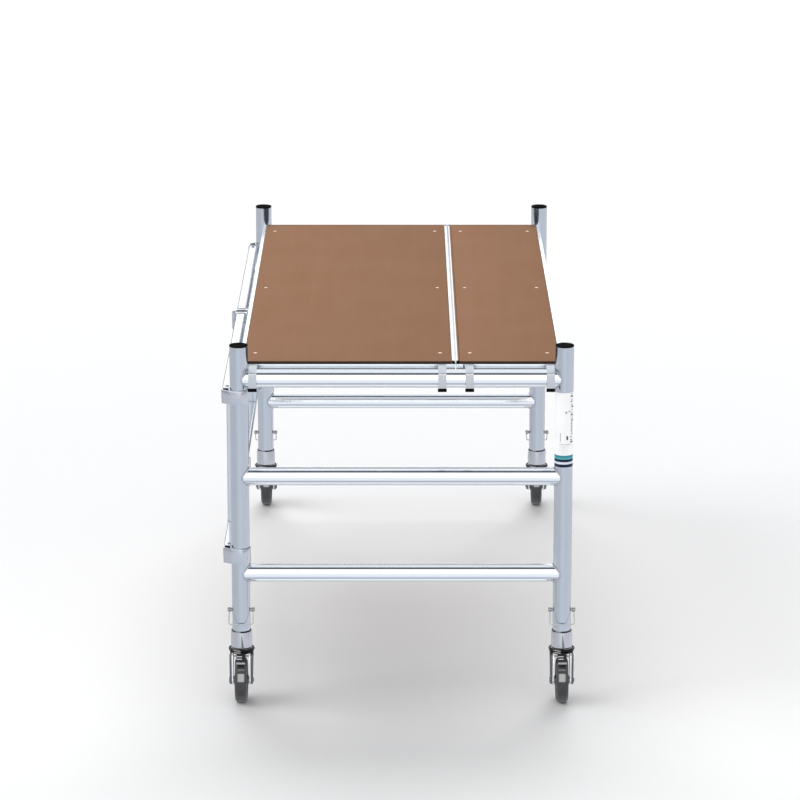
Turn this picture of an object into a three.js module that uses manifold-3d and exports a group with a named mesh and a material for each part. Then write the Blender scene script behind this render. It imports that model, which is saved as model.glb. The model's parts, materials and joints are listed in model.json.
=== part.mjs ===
// Folding room scaffold: two welded ladder end frames on four swivel casters,
// a two-leaf folding side panel on the left, and two hook-on plywood decks.
// Millimetres, +Z up. X runs across the frames, Y along the decks; left is -X, front is -Y.
// The origin is on the floor at the centre of the object's box.
import * as THREE from 'three';
import { mergeVertices } from 'three/addons/utils/BufferGeometryUtils.js';
import Module from 'manifold-3d';

const wasm = await Module();
wasm.setup();

// --------------------------------------------------------- shared dimensions
const HALF_W = 450;            // upright axes stand at x = +-450
const HALF_L = 975;            // end frames stand at y = +-975
const FRAME_SHIFT_X = 12;      // centres the box on x = 0 (hinge knuckle left, pin knob right)
const GAP = 0.3;               // hairline between pieces that touch
const HOLE_PLAY = 0.6;         // added to a radius where another piece passes or turns
const CUT_OVER = 5;            // how far cutters run past open ends

const TUBE_R = 25.4;
const TUBE_WALL = 2;
const TUBE_BORE_R = TUBE_R - TUBE_WALL;
const RUNG_TOP_Z = 925;

const STEM_COLLAR_Z = [150, 196.7];
const PIN_Z = 257;             // snap pin through upright and caster stem
const PIN_R = 4;

// Sides of round pieces.
const TUBE_SIDES = 16;
const HINGE_SIDES = 12;
const PIN_SIDES = 8;
const WHEEL_SIDES = 20;
const WIRE_SIDES = 5;

// mirror turns a y drawn for the front into one for this end; turn is about z.
const ENDS = [
  { end: 'front', y: -HALF_L, mirror: 1, turn: 0 },
  { end: 'rear', y: HALF_L, mirror: -1, turn: Math.PI },
];
const SIDES = [['left', -HALF_W], ['right', HALF_W]];

// ----------------------------------------------------------------- materials
const finish = (settings) => () => new THREE.MeshStandardMaterial(settings);
const aluTube = finish({ color: 0xc9ccd4, roughness: 0.32, metalness: 0.9 });
const aluProfile = finish({ color: 0xd5dae2, roughness: 0.38, metalness: 0.85 });
const castAlu = finish({ color: 0xb4b8bf, roughness: 0.5, metalness: 0.8 });
const plywood = finish({ color: 0x9e7a62, roughness: 0.6, metalness: 0 });
const blackPlastic = finish({ color: 0x141416, roughness: 0.5, metalness: 0 });
const zinc = finish({ color: 0xb9bbbd, roughness: 0.35, metalness: 0.9 });
const tyre = finish({ color: 0x55555a, roughness: 0.7, metalness: 0 });

// ------------------------------------------------------------ mesh and solid
// Welded, position-only copy without degenerate triangles, facing outwards.
function clean(geometry) {
  const loose = geometry.index ? geometry.toNonIndexed() : geometry.clone();
  loose.deleteAttribute('normal');
  loose.deleteAttribute('uv');
  const welded = mergeVertices(loose, 1e-3);
  const source = welded.index.array;
  const positions = welded.attributes.position;
  const corners = [new THREE.Vector3(), new THREE.Vector3(), new THREE.Vector3()];
  const kept = [];
  let volume = 0;
  for (let i = 0; i < source.length; i += 3) {
    const triangle = [source[i], source[i + 1], source[i + 2]];
    if (new Set(triangle).size < 3) continue;
    kept.push(...triangle);
    const [a, b, c] = corners.map((corner, k) => corner.fromBufferAttribute(positions, triangle[k]));
    volume += a.dot(b.cross(c));
  }
  if (volume < 0) {
    for (let i = 0; i < kept.length; i += 3) [kept[i], kept[i + 1]] = [kept[i + 1], kept[i]];
  }
  const result = new THREE.BufferGeometry();
  result.setAttribute('position', new THREE.BufferAttribute(new Float32Array(positions.array), 3));
  result.setIndex(kept);
  return result;
}

// Shapes are either three.js geometries or manifold solids.
function asSolid(shape) {
  if (!shape.isBufferGeometry) return shape;
  const geometry = clean(shape);
  return new wasm.Manifold(new wasm.Mesh({
    numProp: 3,
    vertProperties: new Float32Array(geometry.attributes.position.array),
    triVerts: new Uint32Array(geometry.index.array),
  }));
}

function asGeometry(shape) {
  if (shape.isBufferGeometry) return shape;
  const mesh = shape.getMesh();
  const stride = mesh.numProp;
  const count = mesh.vertProperties.length / stride;
  const positions = new Float32Array(count * 3);
  for (let i = 0; i < count; i++) {
    for (let k = 0; k < 3; k++) positions[3 * i + k] = mesh.vertProperties[stride * i + k];
  }
  const geometry = new THREE.BufferGeometry();
  geometry.setAttribute('position', new THREE.BufferAttribute(positions, 3));
  geometry.setIndex(Array.from(mesh.triVerts));
  return geometry;
}

const join = (...shapes) =>
  shapes.map((shape) => asSolid(shape)).reduce((sum, solid) => sum.add(solid));
const cut = (shape, ...tools) =>
  tools.reduce((rest, tool) => rest.subtract(asSolid(tool)), asSolid(shape));

// -------------------------------------------------------------------- shapes
// A span is [low, high] along one axis.
const span = (a, b) => [Math.min(a, b), Math.max(a, b)];
const grow = ([low, high], by) => [low - by, high + by];

function box([x0, x1], [y0, y1], [z0, z1]) {
  return new THREE.BoxGeometry(x1 - x0, y1 - y0, z1 - z0)
    .translate((x0 + x1) / 2, (y0 + y1) / 2, (z0 + z1) / 2);
}

// Revolved profile of [radius, along] points about +Z or +X.
function revolve(profile, sides, axis = 'z') {
  const points = profile.map(([radius, along]) => new THREE.Vector2(radius, along));
  const lathe = new THREE.LatheGeometry(points, sides);
  return axis === 'z' ? lathe.rotateX(Math.PI / 2) : lathe.rotateZ(-Math.PI / 2);
}

const rod = (radius, [start, end], sides, axis) =>
  revolve([[0, start], [radius, start], [radius, end], [0, end]], sides, axis);

const pipe = (radius, bore, [start, end], axis) => revolve(
  [[bore, start], [radius, start], [radius, end], [bore, end], [bore, start]], TUBE_SIDES, axis);

// Pin with a wider head outside each end of its shaft.
const headedPin = (radius, shaft, headRadius, ends, sides, axis) => revolve([
  [0, ends[0]], [headRadius, ends[0]], [headRadius, shaft[0]], [radius, shaft[0]],
  [radius, shaft[1]], [headRadius, shaft[1]], [headRadius, ends[1]], [0, ends[1]],
], sides, axis);

// Cutter along x for a hole right through a caster or an upright.
const crossHole = (radius, y, z) => rod(radius, [-60, 60], PIN_SIDES, 'x').translate(0, y, z);

function extrude(outline, depth) {
  const shape = new THREE.Shape(outline.map(([u, v]) => new THREE.Vector2(u, v)));
  return new THREE.ExtrudeGeometry(shape, { depth, bevelEnabled: false });
}

// Outline of [y, z] points swept along x.
const prismX = (outline, [x0, x1]) =>
  extrude(outline, x1 - x0).rotateY(Math.PI / 2).rotateX(Math.PI / 2).translate(x0, 0, 0);
// Outline of [x, z] points swept along y.
const prismY = (outline, [y0, y1]) =>
  extrude(outline, y1 - y0).rotateX(Math.PI / 2).translate(0, y1, 0);
// Outline of [x, y] points swept along z.
const prismZ = (outline, [z0, z1]) => extrude(outline, z1 - z0).translate(0, 0, z0);

const model = new THREE.Group();
model.position.x = FRAME_SHIFT_X;

function part(parent, name, shape, material, position = [0, 0, 0]) {
  const mesh = new THREE.Mesh(clean(asGeometry(shape)), material());
  mesh.name = name;
  mesh.position.set(...position);
  parent.add(mesh);
  return mesh;
}

// ---------------------------------------------------------------- end frames
const UPRIGHT_Z = [STEM_COLLAR_Z[1] + GAP, 1017.2];
const RUNG_R = 25;
const RUNG_PITCH = 280;
const RUNG_Z = {
  top: RUNG_TOP_Z,
  middle: RUNG_TOP_Z - RUNG_PITCH,
  bottom: RUNG_TOP_Z - 2 * RUNG_PITCH,
};
const RUNG_END_INSET = 2;      // uncoped rung ends, inside the upright axes
const COPE_HALF = 40;

const CAP_TOP_Z = 1022;
const CAP_R = 25.7;
const PLUG_R = TUBE_BORE_R - 0.4;
const PLUG_WALL = 3;
const PLUG_DEPTH = 20;
const PLUG_ROOF_DROP = 0.5;    // underside of the cap, below the tube end

// Open tube with a cross hole for the snap pin.
const upright = () =>
  cut(pipe(TUBE_R, TUBE_BORE_R, UPRIGHT_Z), crossHole(PIN_R + HOLE_PLAY, 0, PIN_Z));

// Open tube, coped at both ends to sit on the uprights.
function rung() {
  const half = HALF_W - RUNG_END_INSET;
  const cope = (x) =>
    rod(TUBE_R + GAP, [-COPE_HALF, COPE_HALF], TUBE_SIDES).translate(x, 0, 0);
  return cut(pipe(RUNG_R, RUNG_R - TUBE_WALL, [-half, half], 'x'), cope(-HALF_W), cope(HALF_W));
}

// Flange on the tube end with a hollow plug inside the tube.
function tubeCap() {
  const tubeEnd = UPRIGHT_Z[1];
  return revolve([
    [0, CAP_TOP_Z], [CAP_R, CAP_TOP_Z], [CAP_R, tubeEnd + GAP], [PLUG_R, tubeEnd + GAP],
    [PLUG_R, tubeEnd - PLUG_DEPTH], [PLUG_R - PLUG_WALL, tubeEnd - PLUG_DEPTH],
    [PLUG_R - PLUG_WALL, tubeEnd - PLUG_ROOF_DROP], [0, tubeEnd - PLUG_ROOF_DROP],
  ], TUBE_SIDES);
}

for (const { end, y } of ENDS) {
  for (const [side, x] of SIDES) {
    part(model, `${end}_${side}_upright`, upright(), aluTube, [x, y, 0]);
    part(model, `${end}_${side}_tube_cap`, tubeCap(), blackPlastic, [x, y, 0]);
  }
  for (const [level, z] of Object.entries(RUNG_Z)) {
    part(model, `${end}_${level}_rung`, rung(), aluTube, [0, y, z]);
  }
}

// ------------------------------------------------------------- folding panel
// Drawn for the front; the rear leaf and collars mirror it in y.
const COLLAR_R = 28.6;         // collars turn on the left uprights
const COLLAR_BORE_R = 26.2;
const COLLAR_Z = { upper: [857, 895], lower: [397.5, 440.5] };
const RAIL_OUT = 48;           // rail's outer face, outboard of the upright axes
// Collar wing and its pocket, [x, y] from the upright axis.
const WING = [
  [2, -28.4], [-27, -22.4], [-RAIL_OUT, -8], [-RAIL_OUT, 21], [-19.5, 21], [2, 8],
];
const WING_POCKET = [[-14, -22], [-26.4, -18.6], [-44.6, -5.9], [-44.6, 17.6], [-14, 17.6]];

const PANEL_WALL = 2;
const RAIL_X = [-HALF_W - RAIL_OUT, -HALF_W - 20];
const RAIL_Z = { upper: [863, 893], lower: [407, 437] };
const RAIL_START_Y = -HALF_L + 21.3;  // just behind the collar wing
const STRUT_Y = -HALF_L + 280;
const STRUT_HALF = 14;
const POST_X = [-HALF_W - 50, -HALF_W - 16];
const POST_END_Y = -0.5;
const POST_Y = [POST_END_Y - 30, POST_END_Y];
const WELD_LAP = 4;            // how far a bar runs into its neighbour

const HINGE_X = -HALF_W - 55;
const HINGE_Z = { upper: [840, 890], lower: [410, 460] };
const HINGE_GAP = 0.4;         // end play of knuckles and pin heads
const KNUCKLE_R = 7;
const KNUCKLE_BORE_R = 4;
const KNUCKLE_RELIEF = 4;      // cleared beyond each end of a hinge
const KNUCKLE_WEB_X = [HINGE_X - 2, HINGE_X + 8];
const KNUCKLE_WEB_LENGTH = 12;
const HINGE_PIN_R = 3.4;
const HINGE_HEAD_R = 6;
const HINGE_HEAD_OVER = 3;     // outer face of a pin head beyond the hinge

const LATCH_PIVOT = { y: -18, z: 878 };
const LATCH_HOLE_R = 4.6;
const LATCH_STUB_R = 3.9;
const LATCH_X = POST_X[1] + 0.5;
const LATCH_T = 4;
// Latch lever, [y, z].
const LATCH_OUTLINE = [
  [-28, 869], [24, 869], [34, 862], [38, 866], [36, 880], [30, 887], [-28, 887],
  [-31, 884], [-31, 872],
];

// Ring around the upright with a hollow wing that meets the rail.
function hingeCollar(zSpan, mirror) {
  const flip = (outline) => outline.map(([x, y]) => [x, mirror * y]);
  const cutZ = grow(zSpan, CUT_OVER);
  const wing = cut(prismZ(flip(WING), zSpan), prismZ(flip(WING_POCKET), cutZ));
  const ring = rod(COLLAR_R, zSpan, TUBE_SIDES);
  return cut(join(wing, ring), rod(COLLAR_BORE_R, cutZ, TUBE_SIDES));
}

// Two box rails, a strut and the hinge post, welded and hollow. The rails are
// open at the collar end.
function leafBody(mirror) {
  const ySpan = (a, b) => span(mirror * a, mirror * b);
  const inset = (range) => grow(range, -PANEL_WALL);
  const rail = (zSpan) => ({
    outer: [RAIL_X, ySpan(RAIL_START_Y, POST_Y[0] + WELD_LAP), zSpan],
    bore: [inset(RAIL_X), ySpan(RAIL_START_Y - CUT_OVER, POST_Y[0] + 2 * WELD_LAP), inset(zSpan)],
  });
  const strutY = ySpan(STRUT_Y - STRUT_HALF, STRUT_Y + STRUT_HALF);
  const strutZ = [RAIL_Z.lower[1], RAIL_Z.upper[0]];
  const postY = ySpan(...POST_Y);
  const postZ = [RAIL_Z.lower[0], RAIL_Z.upper[1]];
  const bars = [
    rail(RAIL_Z.upper),
    rail(RAIL_Z.lower),
    {
      outer: [RAIL_X, strutY, grow(strutZ, WELD_LAP)],
      bore: [inset(RAIL_X), inset(strutY), grow(strutZ, WELD_LAP + 2)],
    },
    { outer: [POST_X, postY, postZ], bore: [inset(POST_X), inset(postY), inset(postZ)] },
  ];
  return cut(join(...bars.map(({ outer }) => box(...outer))),
    ...bars.map(({ bore }) => box(...bore)));
}

// Adds one knuckle: the lower half of the hinge on the front leaf, the upper
// half on the rear leaf. The rest of the hinge is cleared.
function addKnuckle(body, [z0, z1], mirror) {
  const middle = (z0 + z1) / 2;
  const own = mirror > 0 ? [z0, middle - HINGE_GAP] : [middle + HINGE_GAP, z1];
  const onAxis = (radius, zSpan) => rod(radius, zSpan, HINGE_SIDES).translate(HINGE_X, 0, 0);
  const web = box(KNUCKLE_WEB_X, span(-mirror * KNUCKLE_WEB_LENGTH, 0), own);
  return cut(join(body, onAxis(KNUCKLE_R, own), web),
    onAxis(KNUCKLE_R + HOLE_PLAY, [z0 - KNUCKLE_RELIEF, own[0]]),
    onAxis(KNUCKLE_R + HOLE_PLAY, [own[1], z1 + KNUCKLE_RELIEF]),
    onAxis(KNUCKLE_BORE_R, grow([z0, z1], 2 * KNUCKLE_RELIEF)));
}

const latchRod = (radius, xSpan) =>
  rod(radius, xSpan, PIN_SIDES, 'x').translate(0, LATCH_PIVOT.y, LATCH_PIVOT.z);

function panelLeaf(mirror) {
  let leaf = leafBody(mirror);
  for (const zSpan of Object.values(HINGE_Z)) leaf = addKnuckle(leaf, zSpan, mirror);
  if (mirror < 0) return leaf;
  // Latch pivot hole in the inner wall of the front post.
  return cut(leaf, latchRod(LATCH_HOLE_R, [POST_X[1] - 6, POST_X[1] + 3]));
}

const hingePin = (zSpan) => headedPin(HINGE_PIN_R, grow(zSpan, HINGE_GAP),
  HINGE_HEAD_R, grow(zSpan, HINGE_HEAD_OVER), HINGE_SIDES);

// Lever on the inner side of the posts, with its pivot stub.
const foldLatch = () => join(
  prismX(LATCH_OUTLINE, [LATCH_X, LATCH_X + LATCH_T]),
  latchRod(LATCH_STUB_R, [LATCH_X - 4.5, LATCH_X + 6]));

for (const { end, y, mirror } of ENDS) {
  for (const [level, zSpan] of Object.entries(COLLAR_Z)) {
    const collar = hingeCollar(zSpan, mirror);
    part(model, `${end}_${level}_hinge_collar`, collar, castAlu, [-HALF_W, y, 0]);
  }
  part(model, `${end}_folding_panel`, panelLeaf(mirror), aluProfile);
}
for (const [level, zSpan] of Object.entries(HINGE_Z)) {
  part(model, `${level}_mid_hinge_pin`, hingePin(zSpan), zinc, [HINGE_X, 0, 0]);
}
part(model, 'fold_latch', foldLatch(), zinc);

// --------------------------------------------------------------------- decks
const DECK_X = { wide: [-449, 149.7], narrow: [150.3, 449] };
const DECK_END = 941.5;        // decks stop short of the uprights
const DECK_Y = [-DECK_END, DECK_END];
const DECK_TOP_Z = 965;
const DECK_BOTTOM_Z = 928;
const PLY_T = 9;
const LEDGE_Z = DECK_TOP_Z - PLY_T - GAP;
const LIP_W = 9.7;             // hollow edge lip beside the plywood
const LIP_WALL = 1.8;
const LIP_CAVITY_Z = [LEDGE_Z - 1.2, DECK_TOP_Z - 1.6];
const WEB_IN = 28;             // webs stand inside the clear width between uprights
const WEB_T = 3;
const FLANGE_W = 14;
const MEMBER_TOP_Z = LEDGE_Z - 0.5;
const MEMBER_ROOF = 3.5;
const MEMBER_END_WALL = 3;
const MEMBER_SIDE_WALL = 2.5;
const END_MEMBER_Y = [DECK_END - 30, DECK_END - 0.2];
const END_MEMBER_Z = DECK_BOTTOM_Z + 3.5;
const JOIST_Y = [-838, 0, 838];
const JOIST_HALF = 16;
const JOIST_Z = DECK_BOTTOM_Z + 8;

const HOOK_W = 22;
const HOOK_INSET = 37.5;       // hook centre from the deck's side
// Hook, [y, z] from the rung axis with +y towards the deck.
const HOOK_OUTLINE = [
  [32.9, 5], [32.9, 33.4], [30.2, 35.4], [-28.2, 23.8], [-33.2, 18.8], [-33.2, -29.5],
  [-30.2, -29.5], [-30.2, 17.6], [-27, 20.6], [26.8, 31.3], [29.9, 29.3], [29.9, 5],
];

// Edge profile with hollow lip, ledge, web and foot flange; inward is the
// sign of x towards the deck's middle.
function deckEdge(edgeX, inward) {
  const outline = [
    [0, LEDGE_Z - WEB_T], [WEB_IN, LEDGE_Z - WEB_T], [WEB_IN, DECK_BOTTOM_Z],
    [WEB_IN + FLANGE_W, DECK_BOTTOM_Z], [WEB_IN + FLANGE_W, DECK_BOTTOM_Z + WEB_T],
    [WEB_IN + WEB_T, DECK_BOTTOM_Z + WEB_T], [WEB_IN + WEB_T, LEDGE_Z],
    [LIP_W, LEDGE_Z], [LIP_W, DECK_TOP_Z], [0, DECK_TOP_Z],
  ].map(([x, z]) => [edgeX + inward * x, z]);
  const cavityX = span(edgeX + inward * LIP_WALL, edgeX + inward * (LIP_W - LIP_WALL));
  return cut(prismY(outline, DECK_Y), box(cavityX, grow(DECK_Y, CUT_OVER), LIP_CAVITY_Z));
}

// Two edges, two end members and three joists; the members are open below.
function deckFrame([x0, x1]) {
  const memberX = grow([x0, x1], -WEB_IN - 1);
  const member = (ySpan, bottomZ) => cut(box(memberX, ySpan, [bottomZ, MEMBER_TOP_Z]),
    box(grow(memberX, -MEMBER_END_WALL), grow(ySpan, -MEMBER_SIDE_WALL),
      [bottomZ - CUT_OVER, MEMBER_TOP_Z - MEMBER_ROOF]));
  const [near, far] = END_MEMBER_Y;
  return join(deckEdge(x0, 1), deckEdge(x1, -1),
    member([-far, -near], END_MEMBER_Z), member([near, far], END_MEMBER_Z),
    ...JOIST_Y.map((y) => member([y - JOIST_HALF, y + JOIST_HALF], JOIST_Z)));
}

const deckPly = (xSpan) =>
  box(grow(xSpan, -LIP_W - GAP), DECK_Y, [DECK_TOP_Z - PLY_T, DECK_TOP_Z]);

// Flat bar folded over the rung.
const hook = () => prismX(HOOK_OUTLINE.map(([y, z]) => [y, RUNG_TOP_Z + z]),
  [-HOOK_W / 2, HOOK_W / 2]);

for (const [deck, xSpan] of Object.entries(DECK_X)) {
  part(model, `${deck}_deck_plywood`, deckPly(xSpan), plywood);
  part(model, `${deck}_deck_frame`, deckFrame(xSpan), aluProfile);
  for (const [side, x] of [['left', xSpan[0] + HOOK_INSET], ['right', xSpan[1] - HOOK_INSET]]) {
    for (const { end, y, turn } of ENDS) {
      const mesh = part(model, `${deck}_deck_hook_${end}_${side}`, hook(), castAlu, [x, y, 0]);
      mesh.rotation.z = turn;
    }
  }
}

// ------------------------------------------------------------------- casters
// Drawn about the leg axis with the wheel trailing towards -y.
const STEM_R = 23;
const STEM_WALL = 3;
const STEM_TOP_Z = 292;
const STEM_COLLAR_R = 29.5;
const STEM_FLOOR = 12;         // solid height above the collar's underside
const KING_R = 8;              // king pin below the stem collar
const KING_LENGTH = 26;
const HEAD_R = 36.6;           // swivel head under the stem collar
const HEAD_Z = [133, 147.5];
const TRAIL = 38;
const WHEEL_R = 62.5;
const WHEEL_HALF = 17;
const WHEEL_SHOULDER = 5;
const HUB_HALF = 20.5;
const AXLE_R = 6;
const AXLE_HEAD_R = 9;
const FORK_IN = 23;            // leg faces, from x = 0
const FORK_OUT = 32.5;
const FORK_WEB_OUT = FORK_IN + 3;
const PEDAL_PIVOT = { y: -45, z: 134 };
const PEDAL_PIN_R = 3;
const PEDAL_HALF = 12.5;

// Fork leg and the recess in its outer face, [y, z].
const FORK_OUTLINE = [
  [22, HEAD_Z[0] + 3], [-30, HEAD_Z[0] + 3], [-36, 141], [-51, 140], [-53, 128],
  [-51, 58], [-43, 48], [-33, 48], [-25, 56], [22, 118],
];
const FORK_RECESS = [
  [18.6, HEAD_Z[0] + 8], [-31, HEAD_Z[0] + 8], [-37, 137.6], [-48, 136.8], [-49.6, 127],
  [-47.8, 59.2], [-41.5, 51.2], [-34.5, 51.2], [-27.8, 58], [18.6, 120],
];

const PIN_HALF = 38;           // snap pin
const KNOB_R = 6;
const KNOB_LENGTH = 10;
const BAIL_X = 34;
const BAIL_START = 2;
const BAIL_REACH = 46;
const BAIL_CORNER = 5;
const BAIL_TILT = THREE.MathUtils.degToRad(41);  // from straight down towards -y
const WIRE_R = 1.5;
const WIRE_LAP = 0.6;

// King pin, collar and hollow stem that enters the upright.
function casterStem() {
  const [low, high] = STEM_COLLAR_Z;
  const body = revolve([
    [0, low - KING_LENGTH], [KING_R, low - KING_LENGTH], [KING_R, low], [STEM_COLLAR_R, low],
    [STEM_COLLAR_R, high], [STEM_R, high], [STEM_R, STEM_TOP_Z],
    [STEM_R - STEM_WALL, STEM_TOP_Z], [STEM_R - STEM_WALL, low + STEM_FLOOR],
    [0, low + STEM_FLOOR],
  ], TUBE_SIDES);
  return cut(body, crossHole(PIN_R + HOLE_PLAY, 0, PIN_Z));
}

// Swivel head disc with two pressed legs, flanged along their edges.
function casterFork() {
  const [low, high] = HEAD_Z;
  const head = revolve([
    [0, low], [HEAD_R - 4, low], [HEAD_R, low + 4.5], [HEAD_R, high], [0, high],
  ], TUBE_SIDES);
  const leg = (side) => cut(prismX(FORK_OUTLINE, span(side * FORK_IN, side * FORK_OUT)),
    prismX(FORK_RECESS, span(side * FORK_WEB_OUT, side * (FORK_OUT + 3))));
  return cut(join(head, leg(1), leg(-1)),
    rod(KING_R + 0.5, [low - 20, high + CUT_OVER], TUBE_SIDES),
    crossHole(AXLE_R + HOLE_PLAY, -TRAIL, WHEEL_R),
    crossHole(PEDAL_PIN_R + HOLE_PLAY, PEDAL_PIVOT.y, PEDAL_PIVOT.z));
}

function casterWheel() {
  const bore = AXLE_R + 0.9;
  const shoulder = WHEEL_HALF - WHEEL_SHOULDER;
  return revolve([
    [bore, -HUB_HALF], [14, -HUB_HALF], [49, -WHEEL_HALF], [58.5, -WHEEL_HALF],
    [WHEEL_R, -shoulder], [WHEEL_R, shoulder], [58.5, WHEEL_HALF], [49, WHEEL_HALF],
    [14, HUB_HALF], [bore, HUB_HALF], [bore, -HUB_HALF],
  ], WHEEL_SIDES, 'x');
}

function wheelAxle() {
  const shaftHalf = FORK_WEB_OUT + 0.4;
  const endHalf = FORK_OUT + 3;
  return headedPin(AXLE_R, [-shaftHalf, shaftHalf], AXLE_HEAD_R, [-endHalf, endHalf],
    PIN_SIDES, 'x');
}

// Pivot pin and a sloping tongue over the wheel.
function brakePedal() {
  const { y, z } = PEDAL_PIVOT;
  const pinHalf = FORK_WEB_OUT - 0.4;
  const pin = rod(PEDAL_PIN_R, [-pinHalf, pinHalf], PIN_SIDES, 'x').translate(0, y, z);
  const tongue = prismX([
    [y + 4, z + 5], [y + 3, z - 3], [y - 8, z - 4], [-76, 121], [-80, 122], [-80, 126],
    [-74, 128.5], [y - 10, z + 4], [y - 4, z + 8.5],
  ], [-PEDAL_HALF, PEDAL_HALF]);
  return join(pin, tongue);
}

function wire(from, to) {
  const run = to.clone().sub(from);
  const length = run.length();
  const turn = new THREE.Quaternion()
    .setFromUnitVectors(new THREE.Vector3(0, 0, 1), run.normalize());
  return rod(WIRE_R, [-WIRE_LAP, length + WIRE_LAP], WIRE_SIDES)
    .applyQuaternion(turn)
    .translate(from.x, from.y, from.z);
}

// Straight pin with a knob at each end and a hanging wire bail.
function snapPin() {
  const shaftHalf = PIN_HALF - KNOB_LENGTH;
  const pin = headedPin(PIN_R, [-shaftHalf, shaftHalf], KNOB_R, [-PIN_HALF, PIN_HALF],
    PIN_SIDES, 'x');
  // Bail corners, [x, distance from the pin axis].
  const knots = [
    [-BAIL_X, BAIL_START], [-BAIL_X, BAIL_REACH - BAIL_CORNER],
    [-BAIL_X + BAIL_CORNER, BAIL_REACH], [BAIL_X - BAIL_CORNER, BAIL_REACH],
    [BAIL_X, BAIL_REACH - BAIL_CORNER], [BAIL_X, BAIL_START],
  ].map(([x, t]) => new THREE.Vector3(x, -Math.sin(BAIL_TILT) * t, -Math.cos(BAIL_TILT) * t));
  return join(pin, ...knots.slice(1).map((knot, i) => wire(knots[i], knot)));
}

for (const { end, y, turn } of ENDS) {
  for (const [side, x] of SIDES) {
    const leg = `${end}_${side}`;
    const caster = new THREE.Group();
    caster.position.set(x, y, 0);
    caster.rotation.z = turn;
    model.add(caster);
    part(caster, `${leg}_caster_stem`, casterStem(), castAlu);
    part(caster, `${leg}_caster_fork`, casterFork(), zinc);
    part(caster, `${leg}_caster_wheel`, casterWheel(), tyre, [0, -TRAIL, WHEEL_R]);
    part(caster, `${leg}_wheel_axle`, wheelAxle(), zinc, [0, -TRAIL, WHEEL_R]);
    part(caster, `${leg}_brake_pedal`, brakePedal(), zinc);
    part(caster, `${leg}_snap_pin`, snapPin(), zinc, [0, 0, PIN_Z]);
  }
}

const group = new THREE.Group();
group.add(model);

export default group;
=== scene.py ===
# Folding room scaffold on casters. It stands on the floor z = 0 with its rungs along X and its
# decks running along Y: the front end frame is at -Y, the rear one at +Y, and the folding
# panels join the two left uprights at -X.
# Shapes are drawn in millimetres and scaled by MM; materials, lights and camera use metres.
import json
import math
import random

import bmesh
import bpy
from mathutils import Matrix, Vector
from mathutils.geometry import tessellate_polygon


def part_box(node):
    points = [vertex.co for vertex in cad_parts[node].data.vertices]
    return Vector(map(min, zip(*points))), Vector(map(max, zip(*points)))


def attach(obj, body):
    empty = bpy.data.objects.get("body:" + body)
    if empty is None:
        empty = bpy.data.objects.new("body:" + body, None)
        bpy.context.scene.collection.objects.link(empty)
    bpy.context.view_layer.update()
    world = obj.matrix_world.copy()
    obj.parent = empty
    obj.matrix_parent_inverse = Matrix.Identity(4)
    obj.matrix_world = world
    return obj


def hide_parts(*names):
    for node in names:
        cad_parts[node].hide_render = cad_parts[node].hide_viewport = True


random.seed(7)
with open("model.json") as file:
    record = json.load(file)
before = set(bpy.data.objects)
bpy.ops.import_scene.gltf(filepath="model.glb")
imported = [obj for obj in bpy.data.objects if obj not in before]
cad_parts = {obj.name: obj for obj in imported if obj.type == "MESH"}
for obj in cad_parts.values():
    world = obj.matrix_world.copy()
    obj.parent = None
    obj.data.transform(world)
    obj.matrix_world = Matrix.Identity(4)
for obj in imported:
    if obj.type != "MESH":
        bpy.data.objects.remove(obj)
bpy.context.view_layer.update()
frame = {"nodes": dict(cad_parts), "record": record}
NODES = frame["nodes"]
MM = 0.001
SIDES = (-1, 1)


def extent(node_name):
    """Centre, low corner and high corner of a CAD node, mm."""
    low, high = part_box(node_name)
    return (low + high) / 2 / MM, low / MM, high / MM


# ------------------------------------------------------------------ driving dimensions, mm
TUBE_RADIUS = 25.4
TUBE_BORE = 23.4
PIN_Z = 257.0  # axis of the lock pins through the feet of the uprights

LEGS = {}  # leg: (x, y, turn about Z that faces it outwards)
for leg_name in ("front_left", "front_right", "rear_left", "rear_right"):
    middle = extent(f"{leg_name}_upright")[0]
    LEGS[leg_name] = (middle.x, middle.y, 0.0 if leg_name.startswith("front") else math.pi)
LEFT_X, FRONT_Y = LEGS["front_left"][:2]
RIGHT_X = LEGS["front_right"][0]
MID_X = (LEFT_X + RIGHT_X) / 2
HALF_SPAN = (RIGHT_X - LEFT_X) / 2

# Folding panels, to the left of the left uprights
RAIL_OUT, RAIL_IN = LEFT_X - 48, LEFT_X - 20
RAIL_X = (RAIL_OUT + RAIL_IN) / 2
POST_OUT, POST_IN = LEFT_X - 50, LEFT_X - 16
HINGE_X = LEFT_X - 55
STRUT_OFFSET = 280  # upright axis to strut axis
UPPER_RAIL, LOWER_RAIL = (863, 893), (407, 437)  # bottom and top of each rail
PANELS = (("front", 1), ("rear", -1))  # name, direction from its upright towards the middle

STICKER_FOOT, STICKER_TOP = 677.1, 889.3


# ------------------------------------------------------------------ shaders
def scaled(color, factor):
    return tuple(value * factor for value in color)


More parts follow.
